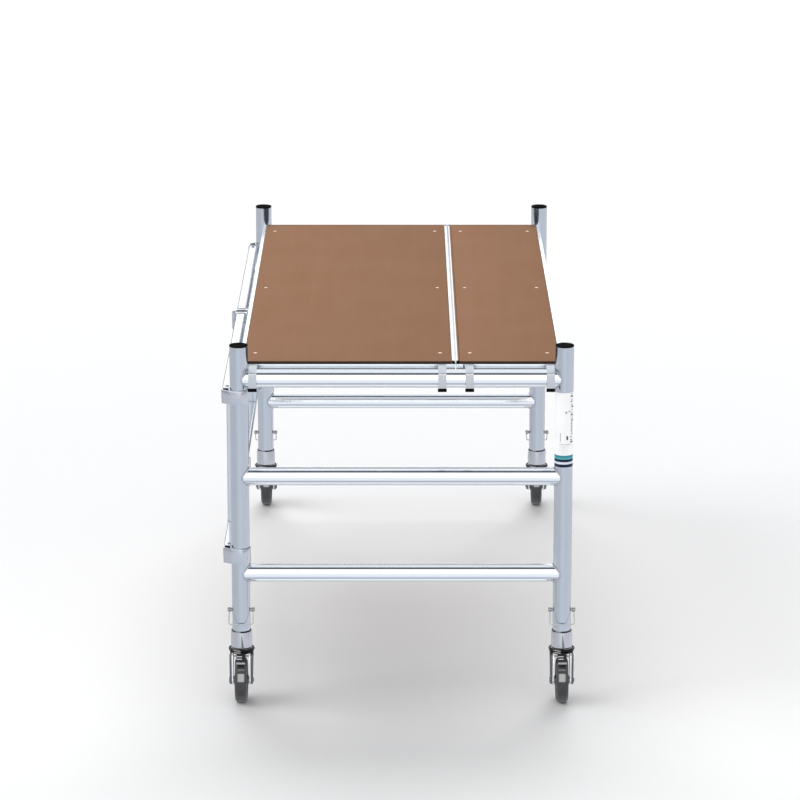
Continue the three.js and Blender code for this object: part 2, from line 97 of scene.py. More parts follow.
class Shader:
    """Short forms for building one node tree. Spans and targets are (low, high) pairs."""

    def __init__(self, tree):
        self.tree = tree

    def feed(self, socket, value):
        if isinstance(value, bpy.types.NodeSocket):
            self.tree.links.new(value, socket)
        elif socket.type == "RGBA":
            socket.default_value = (*value, 1)
        else:
            socket.default_value = value

    def node(self, kind, inputs=None, **settings):
        made = self.tree.nodes.new(kind)
        for key, value in settings.items():
            setattr(made, key, value)
        for key, value in (inputs or {}).items():
            self.feed(made.inputs[key], value)
        return made

    def coords(self, stretch=(1, 1, 1), shift=(0, 0, 0)):
        source = self.node("ShaderNodeTexCoord").outputs["Object"]
        inputs = {"Scale": stretch, "Location": shift, "Vector": source}
        return self.node("ShaderNodeMapping", inputs).outputs["Vector"]

    def noise(self, scale, detail=4.0, rough=0.55, stretch=(1, 1, 1), shift=(0, 0, 0)):
        inputs = {"Vector": self.coords(stretch, shift), "Scale": scale,
                  "Detail": detail, "Roughness": rough}
        return self.node("ShaderNodeTexNoise", inputs).outputs["Fac"]

    def remap(self, value, span, to=(0.0, 1.0)):
        inputs = {"Value": value, "From Min": span[0], "From Max": span[1],
                  "To Min": to[0], "To Max": to[1]}
        return self.node("ShaderNodeMapRange", inputs).outputs["Result"]

    def mix(self, factor, first, second):
        # On a Mix node the colour sockets are inputs 6 and 7 and output 2.
        inputs = {"Factor": factor, 6: first, 7: second}
        return self.node("ShaderNodeMix", inputs, data_type="RGBA").outputs[2]

    def tint(self, base, over, by, span, amount=1.0):
        """Lays `over` on `base` where the mask `by` climbs through `span`."""
        return self.mix(self.remap(by, span, to=(0.0, amount)), base, over)

    def math(self, operation, first, second=0.0):
        return self.node("ShaderNodeMath", {0: first, 1: second}, operation=operation).outputs[0]

    def bump(self, height, strength, distance, under=None):
        inputs = {"Strength": strength, "Distance": distance, "Height": height}
        if under is not None:
            inputs["Normal"] = under
        return self.node("ShaderNodeBump", inputs).outputs["Normal"]

    def split(self, vector):
        return self.node("ShaderNodeSeparateXYZ", {0: vector}).outputs[:3]

    def reversed(self, vector):
        inputs = {0: vector, "Scale": -1.0}
        return self.node("ShaderNodeVectorMath", inputs, operation="SCALE").outputs[0]

    def ramp(self, value, stops, low, high, interpolation="LINEAR"):
        """Colour ramp from (place, colour) stops; low and high are the places at its ends."""
        made = self.node("ShaderNodeValToRGB", {"Fac": value})
        made.color_ramp.interpolation = interpolation
        elements = made.color_ramp.elements
        for element, (place, color) in zip(elements, (stops[0], stops[-1])):
            element.position = (place - low) / (high - low)
            element.color = (*color, 1)
        for place, color in stops[1:-1]:
            elements.new((place - low) / (high - low)).color = (*color, 1)
        return made.outputs["Color"]

    def mix_shader(self, factor, first, second):
        return self.node("ShaderNodeMixShader", {0: factor, 1: first, 2: second}).outputs[0]

    def angle_round_x(self, y, z):
        """Radians round the X axis: 0 towards -Y, positive upwards."""
        return self.math("ARCTAN2", z, self.math("MULTIPLY", y, -1.0))

    def studio_color(self, direction):
        """White panels, a dark slot overhead and a blue-grey front floor, as metal sees them."""
        x, y, z = self.split(direction)
        angle = self.remap(self.angle_round_x(y, z), span=(-math.pi, math.pi))
        panels = self.ramp(angle, STUDIO_STOPS, low=-180, high=180)
        # Away from the middle plane: calm blue-grey below, white above, a thin dark horizon
        side = self.tint((0.76, 0.78, 0.80), (0.91, 0.92, 0.965), by=x, span=(-0.9, 0.9))
        side = self.tint(side, (1.15, 1.15, 1.17), by=z, span=(-0.12, 0.12))
        horizon = self.remap(self.math("ABSOLUTE", z), span=(0.02, 0.07), to=(1.0, 0.0))
        side = self.mix(horizon, side, (0.20, 0.22, 0.25))
        return self.tint(panels, side, by=self.math("ABSOLUTE", x), span=(0.22, 0.55))


# Reflected studio: (degrees round X, colour)
STUDIO_STOPS = [
    (-180, (0.14, 0.15, 0.17)), (-158, (0.15, 0.165, 0.18)), (-148, (0.50, 0.53, 0.57)),
    (-124, (0.52, 0.55, 0.60)), (-110, (0.68, 0.73, 0.76)), (-96, (0.78, 0.83, 0.88)),
    (-88, (0.94, 0.98, 1.0)), (-76, (0.92, 0.96, 1.0)), (-70, (0.56, 0.60, 0.68)),
    (-64, (0.44, 0.48, 0.56)), (-49, (0.47, 0.51, 0.59)), (-44, (0.62, 0.66, 0.74)),
    (-40, (0.82, 0.87, 0.97)), (-24, (0.84, 0.89, 0.97)), (-12, (0.90, 0.95, 1.02)),
    (-3, (1.0, 1.03, 1.06)), (8, (1.3, 1.3, 1.3)), (53, (1.3, 1.3, 1.3)),
    (60, (0.80, 0.82, 0.86)), (65, (0.06, 0.065, 0.08)), (81, (0.06, 0.07, 0.09)),
    (87, (0.40, 0.43, 0.48)), (94, (0.76, 0.82, 0.88)), (104, (0.90, 0.97, 1.06)),
    (130, (0.80, 0.85, 0.92)), (146, (0.9, 0.95, 1.0)), (154, (1.65, 1.65, 1.65)),
    (172, (1.65, 1.65, 1.65)), (177, (0.16, 0.17, 0.19)), (180, (0.14, 0.15, 0.17)),
]


class Material(Shader):
    """A material with its Principled shader and the CAD material slot it belongs to."""

    def __init__(self, name, slot=None):
        self.material = bpy.data.materials.new(name)
        self.material.use_nodes = True
        super().__init__(self.material.node_tree)
        self.principled = self.tree.nodes["Principled BSDF"]
        self.slot = slot

    def surface(self, **inputs):
        """Feeds the Principled inputs; an underscore stands for a space."""
        for key, value in inputs.items():
            self.feed(self.principled.inputs[key.replace("_", " ")], value)

    def replace_in_reflections(self, emission):
        # Painted reflection: glossy rays see the given emission instead of this surface
        glossy = self.node("ShaderNodeLightPath").outputs["Is Glossy Ray"]
        mixed = self.mix_shader(glossy, self.principled.outputs[0], emission.outputs[0])
        self.feed(self.tree.nodes["Material Output"].inputs["Surface"], mixed)

    def paint_metal_reflection(self, color, underside=None):
        """Painted reflection: a fixed colour that metal nearby sees of this, glowing in glossy
        rays; `underside` is the painted colour of the bottom at a shallow angle.
        """
        emission = self.node("ShaderNodeEmission", {"Color": color})
        if underside:
            geometry = self.node("ShaderNodeNewGeometry")
            normal_z = self.split(geometry.outputs["Normal"])[2]
            away = self.reversed(geometry.outputs["Incoming"])
            below = self.tint(underside, self.studio_color(away),
                              by=self.split(away)[2], span=(0.70, 0.84))
            faces_down = self.remap(normal_z, span=(-0.6, -0.4), to=(1.0, 0.0))
            self.feed(emission.inputs["Color"], self.mix(faces_down, color, below))
        self.replace_in_reflections(emission)

    def painted_glint(self, bands, x_span):
        """Painted highlights: white emission where the mirrored direction falls in narrow studio
        bands.

        bands: (low, high, strength), degrees round X; x_span: reach of the X component.
        """
        soft_degrees, soft_x = 2, 0.08
        reflection = self.node("ShaderNodeTexCoord").outputs["Reflection"]
        x, y, z = self.split(reflection)
        degrees = self.math("MULTIPLY", self.angle_round_x(y, z), 180 / math.pi)

        def window(value, low, high, soft, strength=1.0):
            rise = self.remap(value, span=(low - soft, low + soft))
            fall = self.remap(value, span=(high - soft, high + soft), to=(strength, 0.0))
            return self.math("MULTIPLY", rise, fall)

        total = None
        for low, high, strength in bands:
            band = window(degrees, low, high, soft_degrees, strength)
            total = band if total is None else self.math("ADD", total, band)
        total = self.math("MULTIPLY", total, window(x, *x_span, soft_x))
        self.surface(Emission_Color=(1.0, 1.0, 1.0), Emission_Strength=total)


# ------------------------------------------------------------------ kinds of material
def extruded(name, color, rough=(0.22, 0.36), along="z", streak=0.5, dark=0.86, blotch=0.25,
             slot="aluminium_profile"):
    """Extruded aluminium: draw lines along one axis, soft oxide blotches, fine scratches."""
    mat = Material(name, slot)
    stretch = {"x": (3, 260, 260), "y": (260, 3, 260), "z": (260, 260, 3), "all": (60, 60, 60)}
    lines = mat.noise(scale=1.0, detail=6.0, rough=0.7, stretch=stretch[along])
    clouds = mat.noise(scale=9.0, detail=5.0, rough=0.6)
    scuff = mat.noise(scale=46.0, detail=8.0, rough=0.75, shift=(3, 1, 2))
    tone = mat.tint(color, scaled(color, dark), by=lines, span=(0.25, 0.75), amount=streak)
    tone = mat.tint(tone, scaled(color, 0.9), by=clouds, span=(0.35, 0.75), amount=blotch)
    tone = mat.tint(tone, scaled(color, 0.78), by=scuff, span=(0.62, 0.8), amount=0.35)
    matt = mat.math("ADD", mat.remap(lines, span=(0.25, 0.75), to=rough),
                    mat.remap(clouds, span=(0.3, 0.7), to=(-0.04, 0.06)))
    matt = mat.math("ADD", matt, mat.remap(scuff, span=(0.6, 0.8), to=(0.0, 0.12)))
    relief = mat.bump(lines, strength=0.12, distance=0.0004)
    relief = mat.bump(scuff, strength=0.05, distance=0.0006, under=relief)
    mat.surface(Base_Color=tone, Metallic=1.0, Roughness=matt, Normal=relief)
    return mat


def cast(name, color, rough=(0.38, 0.55), grain=900.0, metallic=1.0):
    """Cast and blasted metal."""
    mat = Material(name, "cast_aluminium")
    grains = mat.noise(scale=grain, detail=3.0, rough=0.6)
    clouds = mat.noise(scale=24.0, detail=5.0, rough=0.6)
    tone = mat.tint(color, scaled(color, 0.86), by=clouds, span=(0.3, 0.75), amount=0.5)
    relief = mat.bump(clouds, strength=0.03, distance=0.001)
    relief = mat.bump(grains, strength=0.10, distance=0.0004, under=relief)
    mat.surface(Base_Color=tone, Metallic=metallic, Normal=relief,
                Roughness=mat.remap(clouds, span=(0.3, 0.7), to=rough))
    return mat


def zinc(name, color=(0.40, 0.40, 0.405), rough=(0.10, 0.20)):
    """Zinc plate: crystalline patches, light stains and worn spots."""
    mat = Material(name, "zinc_steel")
    cells = mat.node("ShaderNodeTexVoronoi", {"Scale": 260.0, "Vector": mat.coords()})
    stains = mat.noise(scale=60.0, detail=5.0, rough=0.65)
    cell = mat.node("ShaderNodeSeparateColor", {0: cells.outputs["Color"]}).outputs[0]
    stained = (color[0] * 0.62, color[1] * 0.6, color[2] * 0.55)
    tone = mat.tint(color, scaled(color, 0.8), by=cell, span=(0.0, 1.0), amount=0.5)
    tone = mat.tint(tone, stained, by=stains, span=(0.55, 0.8), amount=0.5)
    matt = mat.math("ADD", mat.remap(cell, span=(0, 1), to=rough),
                    mat.remap(stains, span=(0.4, 0.8), to=(0.0, 0.15)))
    mat.surface(Base_Color=tone, Metallic=1.0, Roughness=matt,
                Normal=mat.bump(stains, strength=0.08, distance=0.0008))
    return mat


def plastic(name, color, rough=(0.38, 0.52), grain=1400.0, relief=0.12, specular=0.5,
            slot="black_plastic"):
    """Plastic or coating with a fine grain."""
    mat = Material(name, slot)
    grains = mat.noise(scale=grain, detail=2.0, rough=0.5)
    clouds = mat.noise(scale=30.0, detail=4.0, rough=0.6)
    lighter = tuple(min(1, value * 1.35 + 0.004) for value in color)
    mat.surface(Specular_IOR_Level=specular, IOR=1.45,
                Base_Color=mat.tint(color, lighter, by=clouds, span=(0.3, 0.8)),
                Roughness=mat.remap(clouds, span=(0.3, 0.7), to=rough),
                Normal=mat.bump(grains, strength=relief, distance=0.0004))
    return mat


def ink(name, color):
    return plastic(name, color, rough=(0.4, 0.5), grain=900.0, relief=0.02, specular=0.1)


def rubber(name, color):
    """Tyre rubber with light dust and painted highlights on the tread."""
    mat = Material(name, "wheel_rubber")
    grains = mat.noise(scale=700.0, detail=4.0, rough=0.6)
    clouds = mat.noise(scale=18.0, detail=6.0, rough=0.65)
    dust = mat.noise(scale=70.0, detail=6.0, rough=0.7, shift=(5, 5, 5))
    dusty = (color[0] * 2.1, color[1] * 2.05, color[2] * 1.95)
    tone = mat.tint(color, scaled(color, 1.3), by=clouds, span=(0.3, 0.75))
    tone = mat.tint(tone, dusty, by=dust, span=(0.52, 0.8), amount=0.55)
    mat.surface(IOR=1.5, Specular_IOR_Level=0.45, Base_Color=tone,
                Roughness=mat.remap(clouds, span=(0.3, 0.7), to=(0.30, 0.42)),
                Normal=mat.bump(grains, strength=0.06, distance=0.0004))
    # Painted highlights: glowing bands where the tread mirrors the bright studio panels
    mat.painted_glint(bands=((6, 48, 0.36), (64, 75, 0.12)), x_span=(-0.3, 0.3))
    return mat


def phenolic(name):
    """Deck face: brown resin film with a fine pressed mesh, faint wood flow and light scuffs."""
    mat = Material(name, "deck_plywood")
    flow = mat.noise(scale=1.0, detail=6.0, rough=0.6, stretch=(26, 1.6, 1))
    clouds = mat.noise(scale=5.0, detail=4.0, rough=0.55)
    scuff = mat.noise(scale=55.0, detail=8.0, rough=0.8, stretch=(1.0, 0.35, 1), shift=(2, 2, 0))
    place = mat.coords()
    waves = [mat.node("ShaderNodeTexWave", {"Scale": 55.0, "Distortion": 0.0, "Vector": place},
                      wave_type="BANDS", bands_direction=axis).outputs["Fac"] for axis in "XY"]
    mesh = mat.math("MULTIPLY", *waves)
    tone = mat.tint((0.318, 0.178, 0.1105), (0.293, 0.160, 0.0965),
                    by=flow, span=(0.3, 0.75), amount=0.8)
    tone = mat.tint(tone, (0.338, 0.194, 0.124), by=clouds, span=(0.35, 0.75), amount=0.5)
    tone = mat.tint(tone, (0.268, 0.144, 0.0865), by=mesh, span=(0.0, 1.0), amount=0.22)
    tone = mat.tint(tone, (0.41, 0.265, 0.187), by=scuff, span=(0.66, 0.82), amount=0.3)
    # Painted shade: darker towards the rear, evening out the stronger light there
    tone = mat.tint(tone, (0.12, 0.066, 0.041), by=mat.split(place)[1],
                    span=(-0.95, 0.95), amount=0.16)
    matt = mat.math("ADD", mat.remap(clouds, span=(0.3, 0.7), to=(0.82, 0.9)),
                    mat.remap(scuff, span=(0.6, 0.8), to=(0.0, 0.1)))
    relief = mat.bump(scuff, strength=0.06, distance=0.0005)
    relief = mat.bump(mesh, strength=0.22, distance=0.0004, under=relief)
    mat.surface(Base_Color=tone, Specular_IOR_Level=0.0, Roughness=matt, Normal=relief)
    # Painted reflection: metal sees the board as a dark glow, and its underside in the painted
    # underside colour
    mat.paint_metal_reflection((0.055, 0.06, 0.062), UNDERSIDE)
    return mat


def ply_edge(name):
    """Board edge: veneers in thin layers, sealed dark."""
    mat = Material(name, "deck_plywood")
    veneers = mat.node("ShaderNodeTexWave", {"Scale": 170.0, "Distortion": 0.6, "Detail": 3.0,
                                             "Vector": mat.coords()},
                       wave_type="BANDS", bands_direction="Z").outputs["Fac"]
    fibres = mat.noise(scale=1.0, detail=5.0, rough=0.6, stretch=(40, 40, 400))
    tone = mat.tint((0.060, 0.037, 0.027), (0.105, 0.066, 0.047), by=veneers, span=(0.2, 0.8))
    tone = mat.tint(tone, (0.045, 0.028, 0.021), by=fibres, span=(0.3, 0.8), amount=0.5)
    relief = mat.bump(fibres, strength=0.2, distance=0.0005)
    relief = mat.bump(veneers, strength=0.25, distance=0.0005, under=relief)
    mat.surface(Base_Color=tone, Roughness=0.8, Specular_IOR_Level=0.1, Normal=relief)
    # Painted reflection: metal sees the board edge as a dark glow
    mat.paint_metal_reflection((0.04, 0.04, 0.04))
    return mat


def weld_metal(name, color):
    """Weld metal: bright, with darker clouds and a coarse grain."""
    mat = Material(name, "aluminium_profile")
    grains = mat.noise(scale=420.0, detail=5.0, rough=0.7)
    clouds = mat.noise(scale=90.0, detail=4.0, rough=0.6)
    mat.surface(Base_Color=mat.tint(color, scaled(color, 0.74), by=clouds, span=(0.35, 0.75)),
                Metallic=1.0, Roughness=mat.remap(grains, span=(0.3, 0.7), to=(0.42, 0.58)),
                Normal=mat.bump(grains, strength=0.3, distance=0.0006))
    return mat


def sticker_face(name):
    """White field over a teal band and a navy band with a pale line."""
    stops = [  # (height where the colour starts, colour)
        (STICKER_FOOT, (0.008, 0.018, 0.040)), (685.1, (0.62, 0.66, 0.80)),
        (691.4, (0.008, 0.022, 0.045)), (699.2, (0.10, 0.36, 0.42)),
        (703.0, (0.045, 0.24, 0.30)), (710.7, (0.86, 0.87, 0.88)),
    ]
    mat = Material(name, "black_plastic")
    height = mat.split(mat.node("ShaderNodeTexCoord").outputs["Object"])[2]
    height = mat.remap(height, span=(STICKER_FOOT * MM, STICKER_TOP * MM))
    bands = mat.ramp(height, stops, STICKER_FOOT, STICKER_TOP, interpolation="CONSTANT")
    grime = mat.noise(scale=60.0, detail=4.0, rough=0.6)
    tone = mat.tint(bands, (0.5, 0.51, 0.52), by=grime, span=(0.45, 0.8), amount=0.035)
    # Painted light: the face glows faintly with its own colours
    mat.surface(Base_Color=tone, Roughness=0.4, Specular_IOR_Level=0.08, Emission_Color=tone,
                Emission_Strength=0.34, Normal=mat.bump(grime, strength=0.03, distance=0.0008))
    return mat


def seam_shade(name):
    """Rail edges at the deck seam: painted shade of their rounded edges, matt and darker to the
    rear.
    """
    mat = Material(name, "aluminium_profile")
    tone = mat.tint((0.62, 0.63, 0.65), (0.24, 0.25, 0.26),
                    by=mat.split(mat.coords())[1], span=(-0.95, 0.95))
    mat.surface(Base_Color=tone, Roughness=0.7, Specular_IOR_Level=0.1)
    return mat


# ------------------------------------------------------------------ the materials
# Painted reflections: the white glow metal sees of deck tops, and the colour it sees of undersides
PAINTED_TOP_GLOW, UNDERSIDE = (1.05, 1.08, 1.12), (0.40, 0.43, 0.47)  # as reflected by metal

UPRIGHT = extruded("upright_aluminium", (0.57, 0.61, 0.675), rough=(0.16, 0.24), streak=0.35,
                   slot="aluminium_tube")
RUNG = extruded("rung_aluminium", (0.93, 0.945, 0.96), rough=(0.045, 0.08), along="x",
                streak=0.25, dark=0.94, blotch=0.1, slot="aluminium_tube")
EDGE_RAIL = extruded("edge_profile_aluminium", (0.93, 0.95, 0.97), rough=(0.16, 0.26), along="y",
                     streak=0.3, dark=0.92, blotch=0.125)
END_RAIL = extruded("end_profile_aluminium", (0.88, 0.945, 1.0), rough=(0.30, 0.36), along="x",
                    streak=0.2, dark=0.94, blotch=0.1)
PANEL = extruded("panel_aluminium", (0.66, 0.70, 0.76), rough=(0.16, 0.26), along="all",
                 streak=0.3)
SEAM_RAIL = extruded("seam_rail_aluminium", (0.57, 0.58, 0.60), rough=(0.16, 0.24), along="y",
                     streak=0.3, dark=0.94, blotch=0.1)
# Painted reflection: metal sees the deck rails glow white from above and in the underside colour
# from below
for deck_metal in (EDGE_RAIL, END_RAIL, SEAM_RAIL):
    deck_metal.paint_metal_reflection(PAINTED_TOP_GLOW, UNDERSIDE)
COLLAR = extruded("hinge_collar_aluminium", (0.585, 0.615, 0.67), rough=(0.15, 0.22),
                  streak=0.3, dark=0.93, blotch=0.1, slot="cast_aluminium")
CAST = cast("collar_aluminium", (0.60, 0.62, 0.665), rough=(0.24, 0.36))
HOOK = cast("hook_aluminium", (0.67, 0.69, 0.715), rough=(0.3, 0.42), grain=700.0)
ZINC = zinc("zinc_plate")
WIRE = zinc("wire_zinc", (0.66, 0.66, 0.66))
PIN = zinc("pin_zinc", rough=(0.08, 0.16))
BLACK = plastic("black_cap_plastic", (0.008, 0.009, 0.008), rough=(0.5, 0.65), specular=0.0)
TIP = plastic("black_tip_plastic", (0.006, 0.006, 0.007), rough=(0.45, 0.6), specular=0.0)
RING = plastic("swivel_ring_plastic", (0.008, 0.009, 0.010), rough=(0.16, 0.24), specular=0.2)
# Painted highlight on the left side of the black swivel parts
RING.painted_glint(bands=((5, 80, 0.75),), x_span=(-0.95, -0.15))
PEDAL = plastic("pedal_coating", (0.020, 0.021, 0.022), rough=(0.25, 0.35), specular=0.35,
                slot="zinc_steel")
CHROME = zinc("bright_plate", (0.97, 0.97, 0.98), rough=(0.06, 0.12))
# Painted highlight on the front edges of the fork webs
CHROME.painted_glint(bands=((-32, 4, 0.28),), x_span=(-0.4, 0.4))
NUT = zinc("nut_zinc", (0.22, 0.22, 0.225), rough=(0.10, 0.2))
FORK_SIDE = zinc("fork_side_plate", (0.17, 0.168, 0.162), rough=(0.22, 0.32))
HUB = plastic("wheel_hub_plastic", (0.10, 0.10, 0.105), rough=(0.35, 0.5))
TYRE = rubber("tyre_rubber", (0.050, 0.050, 0.051))
FILM = phenolic("deck_film")
PLY_EDGE = ply_edge("deck_edge")
WELD = weld_metal("weld_aluminium", (0.60, 0.63, 0.69))
RIVET = cast("rivet_aluminium", (0.98, 0.86, 0.76), rough=(0.4, 0.5), grain=600.0, metallic=0.25)
LABEL = sticker_face("side_sticker")
INK = ink("sticker_ink", (0.05, 0.055, 0.06))
PALE_INK = ink("sticker_pale_ink", (0.42, 0.43, 0.44))
SEAM_EDGE_SHADE = seam_shade("seam_shade")


# ------------------------------------------------------------------ mesh builders
class Shape:
    """Vertices in metres and the faces between them."""

    def __init__(self, verts=(), faces=()):
        self.verts = list(verts)
        self.faces = list(faces)

    def merge(self, other, matrix=None):
        start = len(self.verts)
        self.verts += [tuple(matrix @ Vector(p)) if matrix else p for p in other.verts]
        self.faces += [tuple(i + start for i in face) for face in other.faces]
        return self


def at(x, y, z=0.0, turn=0.0):
    """Placement: turned about Z, then moved by x, y, z mm."""
    return Matrix.Translation(Vector((x, y, z)) * MM) @ Matrix.Rotation(turn, 4, "Z")


def make(name, shape, mat, body, replaces=None, slot=None, angle=32, matrix=None, bevel=None):
    mesh = bpy.data.meshes.new(name)
    verts = [tuple(matrix @ Vector(p)) for p in shape.verts] if matrix else shape.verts
    mesh.from_pydata(verts, [], shape.faces)
    mesh.materials.append(mat.material)
    work = bmesh.new()
    work.from_mesh(mesh)
    bmesh.ops.recalc_face_normals(work, faces=work.faces)
    if bevel:
        edges = [edge for edge in work.edges
                 if len(edge.link_faces) == 2 and edge.calc_face_angle(0) > math.radians(30)]
        bmesh.ops.bevel(work, geom=edges, offset=bevel, segments=2, profile=0.5,
                        affect="EDGES", clamp_overlap=True)
        bmesh.ops.recalc_face_normals(work, faces=work.faces)
    work.to_mesh(mesh)
    work.free()
    mesh.shade_smooth()
    mesh.set_sharp_from_angle(angle=math.radians(angle))
    made = bpy.data.objects.new(name, mesh)
    bpy.context.scene.collection.objects.link(made)
    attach(made, body)
    if replaces:
        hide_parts(replaces)
    return made


def bridge(first, second, count):
    """Quads between two closed rings of vertices, given their first indices."""
    faces = []
    for i in range(count):
        j = (i + 1) % count
        faces.append((first + i, first + j, second + j, second + i))
    return faces


def lathe(profile, sides=64, axis="z"):
    """Solid or ring turned round an axis from (radius, along) in mm; radius 0 is a pole."""
    shape = Shape()
    rings = []
    for radius, along in profile:
        pole = radius <= 1e-9
        rings.append((len(shape.verts), pole))
        if pole:
            shape.verts.append((0, 0, along * MM))
            continue
        for i in range(sides):
            turn = 2 * math.pi * i / sides
            shape.verts.append((radius * MM * math.cos(turn), radius * MM * math.sin(turn),
                                along * MM))
    pairs = list(zip(rings, rings[1:]))
    if not rings[0][1] and not rings[-1][1]:
        pairs.append((rings[-1], rings[0]))
    for (first, first_pole), (second, second_pole) in pairs:
        for i in range(sides):
            j = (i + 1) % sides
            if first_pole:
                shape.faces.append((first, second + j, second + i))
            elif second_pole:
                shape.faces.append((first + i, first + j, second))
            else:
                shape.faces.append((first + i, first + j, second + j, second + i))
    if axis == "x":
        shape.verts = [(z, x, y) for x, y, z in shape.verts]
    return shape


def rod_x(radius, start, end, sides):
    return lathe([(0, start), (radius, start), (radius, end), (0, end)], sides, "x")


def both_ends_x(profile, sides):
    """The turned profile at +X and its mirror at -X."""
    shape = Shape()
    for side in SIDES:
        shape.merge(lathe([(radius, side * along) for radius, along in profile], sides, "x"))
    return shape


def washers_x(bore, radius, start, end, sides):
    return both_ends_x([(bore, start), (radius, start), (radius, end), (bore, end)], sides)


def mirrored_profile(half):
    """Completes a profile that is symmetrical about zero along the axis."""
    return half + [(radius, -along) for radius, along in reversed(half)]


def hex_head(across_flats, start, end):
    """Hexagon along X, chamfered at its end."""
    radius = across_flats / math.sqrt(3)
    chamfer = 1.0 if end > start else -1.0
    return lathe([(0, start), (radius, start), (radius, end - chamfer), (radius - 1.3, end),
                  (0, end)], 6, "x")


def in_plane(u, v, along, plane):
    """A point drawn as (u, v) in a plane, `along` its normal; mm to metres."""
    point = {"xy": (u, v, along), "yz": (along, u, v), "xz": (u, along, v)}[plane]
    return tuple(value * MM for value in point)


def prism(loops, start, end, plane="xy"):
    """Flat loops in mm, the first outer and the rest holes, raised from start to end."""
    vectors = [[Vector((u, v, 0)) for u, v in loop] for loop in loops]
    flat = [point for loop in vectors for point in loop]
    count = len(flat)
    shape = Shape([in_plane(p.x, p.y, along, plane) for along in (start, end) for p in flat])
    for a, b, c in tessellate_polygon(vectors):
        shape.faces += [(a, b, c), (c + count, b + count, a + count)]
    first = 0
    for loop in loops:
        shape.faces += bridge(first, first + count, len(loop))
        first += len(loop)
    return shape


def box(x_span, y_span, z_span):
    spans = [sorted(span) for span in (x_span, y_span, z_span)]
    return Shape([(x * MM, y * MM, z * MM) for x in spans[0] for y in spans[1] for z in spans[2]],
                 [(0, 1, 3, 2), (4, 6, 7, 5), (0, 4, 5, 1), (2, 3, 7, 6), (0, 2, 6, 4),
                  (1, 5, 7, 3)])


def arc(x, y, radius, start, end, steps):
    """Points from start to end degrees round (x, y)."""
    angles = [math.radians(start + (end - start) * i / steps) for i in range(steps + 1)]
    return [(x + radius * math.cos(a), y + radius * math.sin(a)) for a in angles]


def fillet(points, radii, steps=5, closed=True):
    """Rounds the corners of a polyline; radii is one number or one per corner."""
    result = []
    last = len(points) - 1
    if not isinstance(radii, list):
        radii = [radii] * len(points)
    for i, (point, radius) in enumerate(zip(points, radii)):
        if radius <= 0 or (not closed and i in (0, last)):
            result.append(tuple(point))
            continue
        before, corner = Vector((*points[i - 1], 0)), Vector((*point, 0))
        after = Vector((*points[(i + 1) % len(points)], 0))
        back, ahead = before - corner, after - corner
        back_length, ahead_length = back.length, ahead.length
        back.normalize()
        ahead.normalize()
        half = back.angle(ahead) / 2
        trim = min(radius / math.tan(half), back_length * 0.49, ahead_length * 0.49)
        fitted = trim * math.tan(half)
        centre = corner + (back + ahead).normalized() * (fitted / math.sin(half))
        start, end = corner + back * trim - centre, corner + ahead * trim - centre
        start_angle, end_angle = math.atan2(start.y, start.x), math.atan2(end.y, end.x)
        sweep_angle = (end_angle - start_angle + math.pi) % (2 * math.pi) - math.pi
        for k in range(steps + 1):
            turn = start_angle + sweep_angle * k / steps
            result.append((centre.x + fitted * math.cos(turn), centre.y + fitted * math.sin(turn)))
    return result


def rounded(width, height, radius, steps=5, x=0.0, y=0.0):
    """Rounded rectangle about (x, y)."""
    return fillet([(x - width / 2, y - height / 2), (x + width / 2, y - height / 2),
                   (x + width / 2, y + height / 2), (x - width / 2, y + height / 2)],
                  radius, steps)


def inset(loop, distance):
    """Moves a closed loop inwards."""
    following = loop[1:] + loop[:1]
    area = sum(a[0] * b[1] - b[0] * a[1] for a, b in zip(loop, following))
    sign = 1 if area > 0 else -1
    result = []
    for i, after in enumerate(following):
        before, here, after = (Vector((*p, 0)) for p in (loop[i - 1], loop[i], after))
        tangent = ((here - before).normalized() + (after - here).normalized()).normalized()
        normal = Vector((-tangent.y, tangent.x, 0)) * sign
        result.append((here.x + normal.x * distance, here.y + normal.y * distance))
    return result


def profile_bar(size, centre, radii, steps, start, end, plane):
    """Hollow bar with a 2 mm wall; radii are those of the outer and the inner corners."""
    wall = 2
    width, height = size
    outer = rounded(width, height, radii[0], steps, *centre)
    inner = rounded(width - 2 * wall, height - 2 * wall, radii[1], steps, *centre)
    shape = Shape()
    count = len(outer)
    for loop, along in ((outer, start), (outer, end), (inner, end), (inner, start)):
        shape.verts += [in_plane(u, v, along, plane) for u, v in loop]
    for ring in range(4):
        shape.faces += bridge(ring * count, (ring + 1) % 4 * count, count)
    return shape


def sweep(path, radius, sides=10, closed=False):
    """Round bar along points in mm. radius is a number or one per point."""
    points = [Vector(p) for p in path]
    count = len(points)
    radii = radius if isinstance(radius, list) else [radius] * count
    tangents = []
    for i in range(count):
        before = points[i - 1] if (i or closed) else points[0]
        after = points[(i + 1) % count] if (i < count - 1 or closed) else points[-1]
        tangents.append((after - before).normalized())
    shape = Shape()
    normal = Vector((0, 0, 1)) if abs(tangents[0].z) < 0.9 else Vector((1, 0, 0))
    normal = (normal - tangents[0] * normal.dot(tangents[0])).normalized()
    for i, (point, tangent) in enumerate(zip(points, tangents)):
        if i:
            normal = (normal - tangent * normal.dot(tangent)).normalized()
        across = tangent.cross(normal)
        for j in range(sides):
            turn = 2 * math.pi * j / sides
            ray = normal * math.cos(turn) + across * math.sin(turn)
            shape.verts.append(tuple((point + ray * radii[i]) * MM))
    for i in range(count if closed else count - 1):
        shape.faces += bridge(i * sides, (i + 1) % count * sides, sides)
    if not closed:
        shape.faces.append(tuple(range(sides))[::-1])
        shape.faces.append(tuple((count - 1) * sides + j for j in range(sides)))
    return shape


